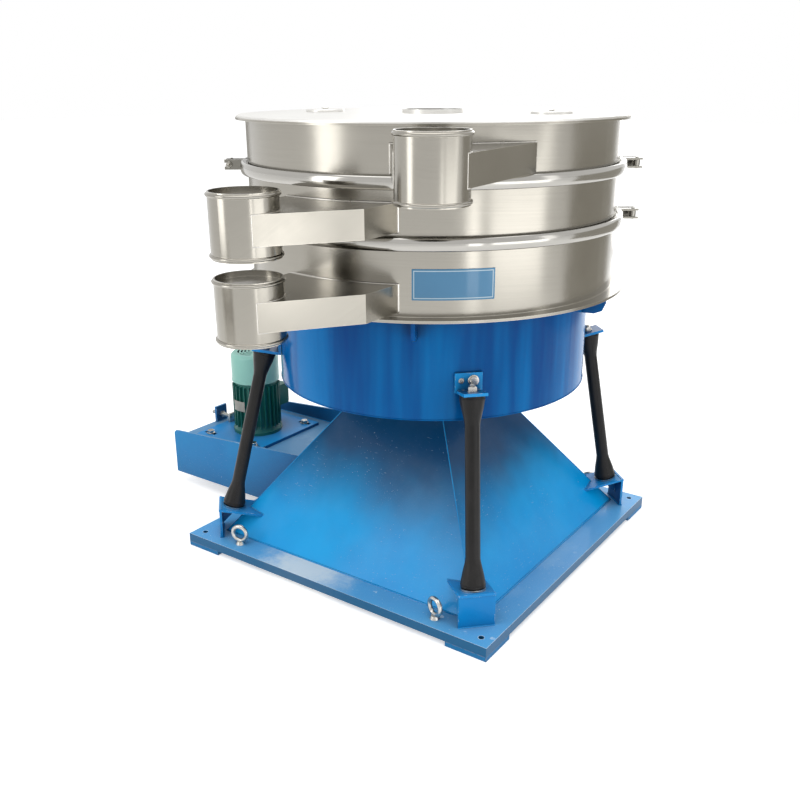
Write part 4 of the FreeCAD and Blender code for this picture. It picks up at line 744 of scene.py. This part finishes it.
def pedestal_welds():
    """Runs along the pyramid's four ridges, round its foot and under its cap."""
    bm = bmesh.new()
    foot, top = PEDESTAL_FOOT / 2, PEDESTAL_TOP_SIDE / 2
    for x in (-1, 1):
        for y in (-1, 1):
            bead(bm, [(foot * x, foot * y, BASE_TOP), (top * x, top * y, CAP_BOTTOM)], 0.0017, ripple=0.03)
    for half, height, radius in ((foot, BASE_TOP, 0.0040), (top, CAP_BOTTOM, 0.0035)):
        ring = [(-half, -half, height), (half, -half, height), (half, half, height), (-half, half, height)]
        bead(bm, ring, radius, closed=True, ripple=0.05)
    return piece("pedestal_welds", bm, weld_paint, "base")


def strut_frame(azimuth):
    """The strut foot's frame: Z up the strut's mean line, X outwards."""
    lean = Matrix.Rotation(-STRUT_LEAN, 4, "Y")
    return turned_to(azimuth) @ Matrix.Translation((FOOT_RADIUS, 0, FOOT_HEIGHT)) @ lean


def bracket_welds():
    """Runs that hold the four strut brackets to the base sheet and to the pyramid."""
    bm = bmesh.new()
    seat_outer, seat_inner, half, drop, plate = 0.052, 0.128, 0.056, 0.0053, 0.008
    for azimuth in DIAGONALS:
        frame_here = strut_frame(azimuth)
        edge = frame_here @ Vector((seat_outer, 0, -drop))
        radial = math.hypot(edge.x, edge.y)
        turn = turned_to(azimuth)
        for reach in (radial, radial - plate):
            ends = [turn @ Vector((reach, side * half, BASE_TOP)) for side in (-1, 1)]
            bead(bm, ends, 0.0036)
        path = []
        for step in range(29):
            across = -half + 2 * half * step / 28
            low, high = -seat_inner, seat_outer
            for _ in range(24):
                middle = (low + high) / 2
                point = frame_here @ Vector((middle, across, -drop))
                inside = max(abs(point.x), abs(point.y)) < pedestal_half(point.z)
                low, high = (middle, high) if inside else (low, middle)
            if low > -seat_inner + 0.001:
                path.append(frame_here @ Vector((low, across, -drop)))
        if len(path) > 2:
            bead(bm, path, 0.0026)
    return piece("bracket_welds", bm, weld_paint, "base")


def channel_welds():
    """Runs where the motor channel's side plates meet the pyramid, and along its shelf."""
    bm = bmesh.new()
    half, plate, root_rise, shelf_low = 0.255, 0.008, 0.232, 0.183
    slope = (PEDESTAL_FOOT - PEDESTAL_TOP_SIDE) / 2 / (CAP_BOTTOM - BASE_TOP)
    low = (-PEDESTAL_FOOT / 2, BASE_TOP)
    high = (-PEDESTAL_FOOT / 2 + slope * root_rise, BASE_TOP + root_rise)
    for side in (-1, 1):
        for y in (side * half, side * (half - plate)):
            bead(bm, [(low[0], y, low[1]), (high[0], y, high[1])], 0.0032)
        inner = side * (half - plate)
        bead(bm, [(-1.065, inner, SHELF_TOP), (-0.44, inner, SHELF_TOP)], 0.0026)
        bead(bm, [(-1.065, inner, shelf_low), (-0.44, inner, shelf_low)], 0.0026)
    for x in (-1.066, -1.056):
        bead(bm, [(x, -0.030, SHELF_TOP), (x, 0.030, SHELF_TOP)], 0.0026)
    return piece("channel_welds", bm, weld_paint, "base")


# Stainless decks.


def touch_point(start, centre, radius, side):
    """Where the plan line from a point touches a circle."""
    reach = Vector(centre) - Vector(start)
    turn = Matrix.Rotation(math.asin(radius / reach.length) * side, 2)
    along = (turn @ reach).normalized()
    return Vector(start) + along * math.sqrt(reach.length_squared - radius ** 2)


def chute_welds(name, azimuth, base, width, corner):
    """The run round a chute's mouth on its deck, and those where it meets the round outlet."""
    bm = bmesh.new()
    back, drop, height, root = 0.120, 0.041, 0.080, 0.490
    tube = Vector((OUTLET_REACH, 0))
    left = touch_point((root, -back), tube, OUTLET_RADIUS, -1)
    right = touch_point((corner, width), tube, OUTLET_RADIUS, 1)
    slope = (left.y + back) / (left.x - root)
    low_y = -back + slope * (math.sqrt(DECK_RADIUS ** 2 - back ** 2) - root)
    start = math.degrees(math.asin(low_y / DECK_RADIUS))
    end = math.degrees(math.asin(width / DECK_RADIUS))
    low, high = base + drop, base + drop + height
    mouth = along_wall(DECK_RADIUS, start, end, low) + along_wall(DECK_RADIUS, end, start, high)
    bead(bm, mouth, 0.0034, closed=True, ripple=0.08, pitch=0.006)
    first = math.atan2(left.y, left.x - OUTLET_REACH)
    last = math.atan2(right.y, right.x - OUTLET_REACH)
    sweep = (first - last) % FULL_TURN
    for level in (low, high):
        arc = []
        for step in range(25):
            angle = last + sweep * step / 24
            arc.append((OUTLET_REACH + OUTLET_RADIUS * math.cos(angle), OUTLET_RADIUS * math.sin(angle), level))
        bead(bm, arc, 0.0018, ripple=0.08, pitch=0.004)
    for corner_point in (left, right):
        bead(bm, [(*corner_point, low), (*corner_point, high)], 0.0014, ripple=0.06)
    return piece(name, bm, polished_weld, "drum", drum_place @ turned_to(azimuth))


def deck_seams():
    """The butt seam of each rolled deck wall, and the fine fillets at the foot and top flanges."""
    bm = bmesh.new()
    for azimuth, low, high in ((118, DECK_FLOOR, BOTTOM_DECK_TOP - 0.006),
                               (96, MIDDLE_DECK_BOTTOM + 0.006, MIDDLE_DECK_TOP - 0.006),
                               (132, TOP_DECK_BOTTOM + 0.006, TOP_DECK_TOP - 0.006)):
        bead(bm, [on_wall(DECK_RADIUS, azimuth, low), on_wall(DECK_RADIUS, azimuth, high)], 0.0014, ripple=0.08)
    for level in (DECK_FLOOR, TOP_DECK_TOP - 0.006):
        bead(bm, along_wall(DECK_RADIUS, 0, 357, level, 3.0), 0.0020, closed=True, ripple=0.05, pitch=0.012, sides=6)
    return piece("deck_seams", bm, finishes["stainless"], "drum", drum_place)


def curved_slab(bm, radius, thick, start, end, low, high, columns=24):
    """A thin plate bent to a round wall."""
    rows = []
    for i in range(columns + 1):
        azimuth = start + (end - start) * i / columns
        rows.append([bm.verts.new(on_wall(r, azimuth, z))
                     for r, z in ((radius, low), (radius + thick, low), (radius + thick, high), (radius, high))])
    for here, there in zip(rows, rows[1:]):
        for k in range(4):
            following = (k + 1) % 4
            bm.faces.new([here[k], there[k], there[following], here[following]])
    bm.faces.new(rows[0])
    bm.faces.new(list(reversed(rows[-1])))


def nameplate():
    """The blue enamelled plate on the bottom deck, left bare, with its pale border line."""
    start, end, low, high = -62.3, -40.0, 1.000, 1.088
    bm = bmesh.new()
    curved_slab(bm, DECK_RADIUS - 0.0002, 0.0022, start, end, low, high)
    plate = piece("bare_nameplate", bm, nameplate_enamel, "drum", drum_place, soft_edge=0.0006)
    bm = bmesh.new()
    inset, line = 0.0045, 0.0028
    turn = math.degrees(inset / DECK_RADIUS)
    thin = math.degrees(line / DECK_RADIUS)
    face = DECK_RADIUS + 0.0019
    left, right, floor, top = start + turn, end - turn, low + inset, high - inset
    curved_slab(bm, face, 0.0004, left, right, floor, floor + line)
    curved_slab(bm, face, 0.0004, left, right, top - line, top)
    curved_slab(bm, face, 0.0004, left, left + thin, floor + line, top - line, 2)
    curved_slab(bm, face, 0.0004, right - thin, right, floor + line, top - line, 2)
    piece("nameplate_border", bm, border_enamel, "drum", drum_place)
    return plate


def clamp_crests():
    """The rounded, polished skin of each half clamp band, from closure to closure."""
    root, bulge, ear_angle, steps = BAND_RADIUS - 0.006, 0.0078, 3.8, 14
    bm = bmesh.new()
    for height in (BOTTOM_DECK_TOP + 0.005, MIDDLE_DECK_TOP + 0.005):
        for half in (0, 180):
            start, end = CLOSURE_AZIMUTH + half + ear_angle, CLOSURE_AZIMUTH + half + 180 - ear_angle
            rings = []
            columns = 120
            for i in range(columns + 1):
                azimuth = start + (end - start) * i / columns
                turns = [math.pi * k / steps - math.pi / 2 for k in range(steps + 1)]
                ring = [bm.verts.new(on_wall(root + bulge * math.cos(t), azimuth,
                                             height + BAND_HALF_HEIGHT * math.sin(t))) for t in turns]
                rings.append(ring)
            for here, there in zip(rings, rings[1:]):
                for k in range(steps + 1):
                    following = (k + 1) % (steps + 1)
                    bm.faces.new([here[k], there[k], there[following], here[following]])
            bm.faces.new(rings[0])
            bm.faces.new(list(reversed(rings[-1])))
    return piece("rounded_clamp_skins", bm, polished_band, "drum", drum_place, smooth_angle=60)


# Fixings.


def axis_place(origin, direction):
    """A place whose Z looks along a direction."""
    return Matrix.Translation(Vector(origin)) @ Vector(direction).to_track_quat("Z", "Y").to_matrix().to_4x4()


def swing_bolt(level, side, height, azimuth):
    """A closure's swing bolt: eye on its pin, screwed shank, washer and nut."""
    bm = bmesh.new()
    pin_x, pin_y, eye_radius, bore, half = 0.665, -0.026, 0.0103, 0.0053, 0.0097
    lathe(bm, [(bore, -half), (eye_radius - 0.0012, -half), (eye_radius, -half + 0.0012), (eye_radius, half - 0.0012),
               (eye_radius - 0.0012, half), (bore, half)], 40, (pin_x, pin_y, height))
    along = axis_place((pin_x, -0.0180, height), (0, 1, 0))
    threaded(bm, 0.005, 0.0673, 0.0015, along, steps=20)
    nut_low = axis_place((pin_x, 0.0253, height), (0, 1, 0))
    disc(bm, 0.010, 0.002, nut_low, hole=0.0052)
    hex_block(bm, 0.017, 0.012, nut_low @ Matrix.Translation((0, 0, 0.002)))
    place = drum_place @ turned_to(azimuth)
    body = f"{level}_swing_bolt_{side}"
    made = piece(f"{level}_{side}_swing_bolt_threaded", bm, closure_bolt_steel, body, place,
                 smooth_angle=22)
    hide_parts(body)
    return made


def bracket_fixings():
    """Bolts through the head brackets into the drum, and the stud nuts over each strut."""
    bm = bmesh.new()
    bolt, thick, gap = 0.016, 0.009, 0.0003
    inner = HEAD_RADIUS - DRUM_RADIUS - 0.004
    head = Matrix.Translation((HEAD_RADIUS, 0, HEAD_HEIGHT)) @ Matrix.Rotation(-STRUT_LEAN, 4, "Y")
    low = (head @ Vector((-inner, 0, gap))).z
    for azimuth in DIAGONALS:
        turn = turned_to(azimuth)
        for size, across in ((0.008, -0.0227), (0.016, 0.0143)):
            seat = turn @ axis_place((DRUM_RADIUS + thick, across, low + 0.040), (1, 0, 0))
            disc(bm, 1.05 * size, 0.15 * size, seat, round_off=0.3)
            hex_block(bm, 1.55 * size, 0.62 * size, seat @ Matrix.Translation((0, 0, 0.15 * size)))
            inward = turn @ axis_place((DRUM_RADIUS + thick, across, low + 0.040), (-1, 0, 0))
            grip = 0.017
            hex_block(bm, 1.6 * size, 0.8 * size, inward @ Matrix.Translation((0, 0, grip)))
            threaded(bm, size / 2, grip + size, 0.125 * size, inward)
        stud = turn @ head @ Matrix.Translation((0, 0, gap + thick))
        disc(bm, 0.016, 0.003, stud)
        hex_block(bm, 0.0256, 0.0128, stud @ Matrix.Translation((0, 0, 0.003)))
        threaded(bm, 0.008, 0.0224, 0.002, stud)
    made = piece("bracket_fixings", bm, finishes["zinc_steel"], "drum", drum_place,
                 smooth_angle=22)
    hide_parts("strut_head_bolts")
    return made


def motor_plate_fixings():
    """The four bolts in the motor plate's slots, each with a broad washer and a nut under the shelf."""
    bm = bmesh.new()
    bolt, plate, shelf, gap = 0.016, 0.012, 0.012, 0.0003
    for x in (-0.120, 0.120):
        for y in (-0.155, 0.155):
            seat = Matrix.Translation((x - MOTOR_OFFSET, y, SHELF_TOP + plate + gap))
            disc(bm, 1.05 * bolt, 0.0024, seat)
            hex_block(bm, 1.6 * bolt, 0.0104, seat @ Matrix.Translation((0, 0, 0.0024)))
            grip = plate + shelf + gap
            threaded(bm, bolt / 2, grip + bolt, 0.002, seat @ Matrix.Rotation(math.pi, 4, "X"))
            hex_block(bm, 1.6 * bolt, 0.0128, seat @ Matrix.Translation((0, 0, -grip)) @ Matrix.Rotation(math.pi, 4, "X"))
    made = piece("motor_plate_fixings", bm, finishes["zinc_steel"], "base",
                 smooth_angle=22)
    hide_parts("motor_plate_bolts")
    return made


def belt_tensioner():
    """The screwed rod in its tab on the motor plate, and its lock nuts each side of the lug."""
    rod_z, start, lug_near, lug_far = SHELF_TOP + 0.030, -MOTOR_OFFSET - 0.165 + 0.020, -1.056, -1.066
    bm = bmesh.new()
    threaded(bm, 0.008, start - lug_far + 0.042, 0.002, axis_place((start, 0, rod_z), (-1, 0, 0)))
    box_block(bm, (start - 0.008, -0.022, MOTOR_SEAT), (start + 0.002, 0.022, MOTOR_SEAT + 0.036))
    rod = piece("screwed_tension_rod", bm, finishes["zinc_steel"], "motor_carriage")
    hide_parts("tension_rod")
    bm = bmesh.new()
    for position, way in ((lug_near, 1), (lug_far, -1)):
        hex_block(bm, 0.0232, 0.011, axis_place((position, 0, rod_z), (way, 0, 0)))
    nuts = piece("tension_lock_nuts", bm, finishes["zinc_steel"], "base")
    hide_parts("tension_nuts")


# Motor.


def slotted_fan_cover():
    """The pressed fan cover with ring slots in its crown and a rolled lower lip."""
    low = MOTOR_SEAT + 0.012 + 0.205
    high, radius, wall = low + 0.118, 0.097, 0.002
    bm = bmesh.new()
    profile = [(0.084, low), (radius - 0.001, low), (radius, low + 0.001), (radius, low + 0.008), (radius - 0.0012, low + 0.009),
               (radius - 0.0012, high - 0.016), (radius - 0.004, high - 0.008), (radius - 0.010, high - 0.002),
               (radius - 0.016, high), (radius - 0.020, high), (radius - 0.020, high - wall),
               (radius - 0.016, high - wall), (radius - 0.011, high - 0.0045), (radius - 0.0058, high - 0.0095),
               (radius - 0.0032, high - 0.016), (radius - 0.0032, low + 0.004), (0.084, low + 0.004)]
    lathe(bm, profile, 96, (-MOTOR_OFFSET, 0, 0))
    rings = [0.0, 0.012, 0.019, 0.026, 0.033, 0.040, 0.047, 0.054, 0.061, 0.068, radius - 0.0195]
    sectors, spoke_every = 96, 16
    points = []
    for r in rings[1:]:
        points.append([bm.verts.new((r * math.cos(a) - MOTOR_OFFSET, r * math.sin(a), high - wall))
                       for a in (FULL_TURN * k / sectors for k in range(sectors))])
    crown = []
    for level in range(len(points) - 1):
        open_ring = level % 2 == 1
        for k in range(sectors):
            if open_ring and k % spoke_every > 2:
                continue
            following = (k + 1) % sectors
            crown.append(bm.faces.new([points[level][k], points[level + 1][k], points[level + 1][following],
                                       points[level][following]]))
    crown.append(bm.faces.new(points[0]))
    bmesh.ops.recalc_face_normals(bm, faces=crown)
    raised = bmesh.ops.extrude_face_region(bm, geom=crown)
    for vertex in (v for v in raised["geom"] if isinstance(v, bmesh.types.BMVert)):
        vertex.co.z += wall
    bmesh.ops.remove_doubles(bm, verts=bm.verts, dist=0.00001)
    made = piece("slotted_fan_cover", bm, finishes["cover_green"], "motor_carriage")
    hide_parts("fan_cover")
    return made


def terminal_box_cover():
    """The terminal box's lid with its four screws, and the gland's nut."""
    low = MOTOR_SEAT + 0.012 + 0.070
    face = 0.084 - 0.006 + 0.070
    bm = bmesh.new()
    box_block(bm, (-MOTOR_OFFSET - 0.041, face - 0.0005, low + 0.003), (-MOTOR_OFFSET + 0.041, face + 0.0035, low + 0.085))
    piece("terminal_box_lid", bm, finishes["motor_green"], "motor_carriage", soft_edge=0.0025, segments=3)
    bm = bmesh.new()
    for x in (-0.034, 0.034):
        for z in (0.010, 0.078):
            seat = axis_place((-MOTOR_OFFSET + x, face + 0.0035, low + z), (0, 1, 0))
            disc(bm, 0.0042, 0.0026, seat, steps=24, round_off=0.4)
    gland = axis_place((-MOTOR_OFFSET, 0.084 + 0.034, low - 0.016), (0, 0, -1))
    hex_block(bm, 0.024, 0.007, gland @ Matrix.Translation((0, 0, -0.0155)))
    piece("terminal_box_screws", bm, finishes["zinc_steel"], "motor_carriage")


def motor_rating_plate():
    """The motor's rating plate, left bare, with its two rivets."""
    bm = bmesh.new()
    low = MOTOR_SEAT + 0.012 + 0.090
    columns = []
    radius = 0.0978
    for azimuth in (-112, -108, -104, -100, -96, -92, -88, -84, -80, -76):
        angle = math.radians(azimuth)
        out = Vector((math.cos(angle), math.sin(angle), 0))
        base = Vector((-MOTOR_OFFSET, 0, 0))
        columns.append([bm.verts.new(base + out * r + Vector((0, 0, z)))
                        for r, z in ((radius, low), (radius + 0.0012, low), (radius + 0.0012, low + 0.042), (radius, low + 0.042))])
    for here, there in zip(columns, columns[1:]):
        for k in range(4):
            following = (k + 1) % 4
            bm.faces.new([here[k], there[k], there[following], here[following]])
    bm.faces.new(columns[0])
    bm.faces.new(list(reversed(columns[-1])))
    for azimuth in (-110, -78):
        angle = math.radians(azimuth)
        out = Vector((math.cos(angle), math.sin(angle), 0))
        seat = axis_place(Vector((-MOTOR_OFFSET, 0, low + 0.021)) + out * (radius + 0.001), out)
        disc(bm, 0.0022, 0.0014, seat, steps=20, round_off=0.4)
    return piece("bare_rating_plate", bm, rating_plate_steel, "motor_carriage")


# Struts, drum and lid.


def strut_radius_at(along, length):
    """The moulded strut's radius at a distance up its line."""
    flare, shaft, taper = 0.038, 0.0225, 0.088
    from_end = min(along, length - along)
    shape = [(0.0, flare), (0.0128, flare), (taper * 0.45, flare - 0.005), (taper * 0.85, shaft + 0.002), (taper, shaft),
             (1.0, shaft)]
    for (z0, r0), (z1, r1) in zip(shape, shape[1:]):
        if from_end <= z1:
            return r0 + (r1 - r0) * (from_end - z0) / (z1 - z0)
    return shaft


def strut_flash(number, azimuth):
    """The fine mould line down both sides of a rubber strut, and the lip round each end."""
    mean = math.hypot(FOOT_RADIUS - HEAD_RADIUS, HEAD_HEIGHT - FOOT_HEIGHT)
    length = math.hypot(mean, CRANK_OFFSET)
    swing = math.atan2(CRANK_OFFSET, mean)
    way = math.radians(90 - azimuth)
    lean = Matrix.Rotation(swing, 4, Vector((-math.sin(way), math.cos(way), 0)))
    bm = bmesh.new()
    for side in (-1, 1):
        path = []
        for step in range(61):
            along = 0.012 + (length - 0.024) * step / 60
            path.append((0, side * (strut_radius_at(along, length) - 0.0002), along))
        bead(bm, path, 0.0008, ripple=0.0, pitch=0.010, sides=6)
    for along in (0.0105, length - 0.0105):
        bead(bm, [on_wall(0.0378, 10 * i, along) for i in range(36)], 0.0012, closed=True, ripple=0.0, pitch=0.012, sides=6)
    return piece(f"strut_flash_{number}", bm, finishes["strut_rubber"], f"strut_{number}",
                 strut_frame(azimuth) @ lean)


def drum_seams():
    """The blue drum's butt seam, the fillet under its flange and the rolled edge at its foot."""
    bm = bmesh.new()
    bead(bm, [on_wall(DRUM_RADIUS, 150, DRUM_BOTTOM + 0.004), on_wall(DRUM_RADIUS, 150, DRUM_TOP - 0.008)], 0.0020,
         ripple=0.08)
    for level, radius in ((DRUM_TOP - 0.008, 0.0030), (DRUM_BOTTOM + 0.0012, 0.0022)):
        bead(bm, along_wall(DRUM_RADIUS, 0, 357, level, 3.0), radius, closed=True, ripple=0.03, pitch=0.014, sides=6)
    return piece("drum_seams", bm, drum_paint, "drum", drum_place)


def port_knob(side, azimuth):
    """The low turned knob by which an inspection port's cap is lifted."""
    bm = bmesh.new()
    top = TOP_DECK_TOP + 0.006 + 0.0083
    profile = [(0.0001, 0.0), (0.011, 0.0), (0.011, 0.0008), (0.008, 0.0016), (0.008, 0.0026), (0.0135, 0.0034),
               (0.0142, 0.0044), (0.0130, 0.0056), (0.0001, 0.0062)]
    lathe(bm, profile, 48, (0, 0, top - 0.0002))
    place = drum_place @ turned_to(azimuth) @ Matrix.Translation((0.390, 0, 0))
    return piece(f"{side}_port_knob", bm, lid_steel, f"port_cap_{side}", place)


pedestal_welds()
bracket_welds()
channel_welds()
chute_welds("bottom_chute_welds", -90, 0.923, 0.245, 0.698)
chute_welds("middle_chute_welds", -90, 1.146, 0.245, 0.698)
chute_welds("top_chute_welds", -57, 1.299, 0.278, 0.552)
deck_seams()
nameplate()
clamp_crests()
for level, height in (("lower", 1.157), ("upper", 1.320)):
    swing_bolt(level, "right", height, CLOSURE_AZIMUTH)
    swing_bolt(level, "left", height, CLOSURE_AZIMUTH + 180)
bracket_fixings()
motor_plate_fixings()
belt_tensioner()
slotted_fan_cover()
terminal_box_cover()
motor_rating_plate()
for number, azimuth in enumerate(DIAGONALS, start=1):
    strut_flash(number, azimuth)
drum_seams()
port_knob("right", 12)
port_knob("left", 192)

# Studio.

SURROUND_LIGHT = 0.70
FLOOR_GLOW = 0.48


def softbox(name, azimuth, distance, width, low, high, glow):
    """A tall soft lamp that stands near the floor and faces the machine's axis; white paper glows at 1."""
    data = bpy.data.lights.new(name, "AREA")
    data.shape = "RECTANGLE"
    data.size = width
    data.size_y = high - low
    data.energy = glow * math.pi * width * (high - low)
    lamp = bpy.data.objects.new(name, data)
    bpy.context.scene.collection.objects.link(lamp)
    lamp.location = on_wall(distance, azimuth, (low + high) / 2)
    aim = Vector((0, 0, (low + high) / 2)) - lamp.location
    lamp.rotation_euler = aim.to_track_quat("-Z", "Y").to_euler()
    return lamp


def dark_flag(name, azimuth, distance, width, low, high, tone):
    """A grey cloth on a frame that only the machine's polished sheet mirrors; it takes no light from the room."""
    bm = bmesh.new()
    bmesh.ops.create_grid(bm, x_segments=1, y_segments=1, size=0.5)
    mesh = bpy.data.meshes.new(name)
    bm.to_mesh(mesh)
    bm.free()
    cloth, n, shader = finish(f"{name}_cloth", Roughness=1.0)
    shader.inputs["Base Color"].default_value = (0, 0, 0, 1)
    shader.inputs["Emission Color"].default_value = (*tone, 1)
    shader.inputs["Emission Strength"].default_value = 1.0
    mesh.materials.append(cloth)
    flag = bpy.data.objects.new(name, mesh)
    bpy.context.scene.collection.objects.link(flag)
    flag.location = on_wall(distance, azimuth, (low + high) / 2)
    aim = Vector((0, 0, (low + high) / 2)) - flag.location
    flag.rotation_euler = aim.to_track_quat("-Z", "Y").to_euler()
    flag.scale = (width, high - low, 1)
    flag.visible_camera = flag.visible_diffuse = flag.visible_shadow = flag.visible_transmission = False


def studio():
    """Pale floor, white surround, an overhead soft lamp and tall side lamps."""
    bm = bmesh.new()
    bmesh.ops.create_grid(bm, x_segments=1, y_segments=1, size=40)
    mesh = bpy.data.meshes.new("pale_floor")
    bm.to_mesh(mesh)
    bm.free()
    floor = bpy.data.objects.new("pale_floor", mesh)
    bpy.context.scene.collection.objects.link(floor)
    floor_finish, n, shader = finish("pale_floor_finish", Roughness=0.9)
    shader.inputs["Base Color"].default_value = (0.93, 0.93, 0.93, 1)
    shader.inputs["Emission Color"].default_value = (1, 1, 1, 1)
    rays = n.add("ShaderNodeLightPath")
    seen = n.math("MAXIMUM", rays.outputs["Is Camera Ray"], rays.outputs["Is Glossy Ray"])
    n.join(n.math("MULTIPLY", seen, FLOOR_GLOW), shader.inputs["Emission Strength"])
    mesh.materials.append(floor_finish)

    world = bpy.data.worlds.new("white_surround")
    bpy.context.scene.world = world
    world.use_nodes = True
    n = Nodes(world.node_tree)
    background = world.node_tree.nodes["Background"]
    background.inputs["Color"].default_value = (1, 1, 1, 1)
    rays = n.add("ShaderNodeLightPath")
    mirrored = n.math("MAXIMUM", rays.outputs["Is Glossy Ray"], rays.outputs["Is Transmission Ray"])
    seen = n.math("MAXIMUM", rays.outputs["Is Camera Ray"], mirrored)
    strength = n.add("ShaderNodeMix", data_type="FLOAT")
    n.join(seen, strength.inputs["Factor"])
    strength.inputs[2].default_value = SURROUND_LIGHT
    strength.inputs[3].default_value = 1.0
    n.join(strength.outputs[0], background.inputs["Strength"])

    overhead = softbox("overhead_softbox", -60, 0.8, 4.0, 0, 4.0, 1.6)
    overhead.location = (0.4, -0.9, 4.2)
    overhead.rotation_euler = (0, 0, 0)
    softbox("left_window", -116, 4.5, 1.2, 0.5, 3.4, 2.8)
    softbox("right_window", -34, 4.5, 0.5, 0.05, 1.0, 3.0)
    softbox("low_right_wall", -8, 5.0, 3.0, 0.05, 1.0, 2.0)
    softbox("slim_right_window", 9, 5.0, 0.7, 0.9, 3.2, 1.1)
    softbox("back_wall", 108, 6.0, 4.4, 0.1, 3.6, 2.2)
    dark_flag("right_flag", 50, 3.4, 3.2, 0.02, 1.5, (0.48, 0.46, 0.41))
    dark_flag("left_flag", 154, 3.4, 1.4, 0.02, 1.5, (0.42, 0.41, 0.38))
    dark_flag("low_left_flag", -116, 4.0, 2.4, 0.02, 0.45, (0.38, 0.36, 0.31))
    for lamp in (o for o in bpy.context.scene.objects if o.type == "LIGHT"):
        lamp.visible_camera = False


def camera():
    data = bpy.data.cameras.new("photo_camera")
    data.sensor_width = 36.0
    data.lens = 40.23
    made = bpy.data.objects.new("photo_camera", data)
    bpy.context.scene.collection.objects.link(made)
    made.location = (1.653, -2.528, 1.556)
    made.rotation_euler = (math.radians(70.7), 0, math.radians(35.0))
    data.clip_end = 200
    bpy.context.scene.camera = made


studio()
camera()
bpy.context.scene.view_settings.view_transform = "Standard"
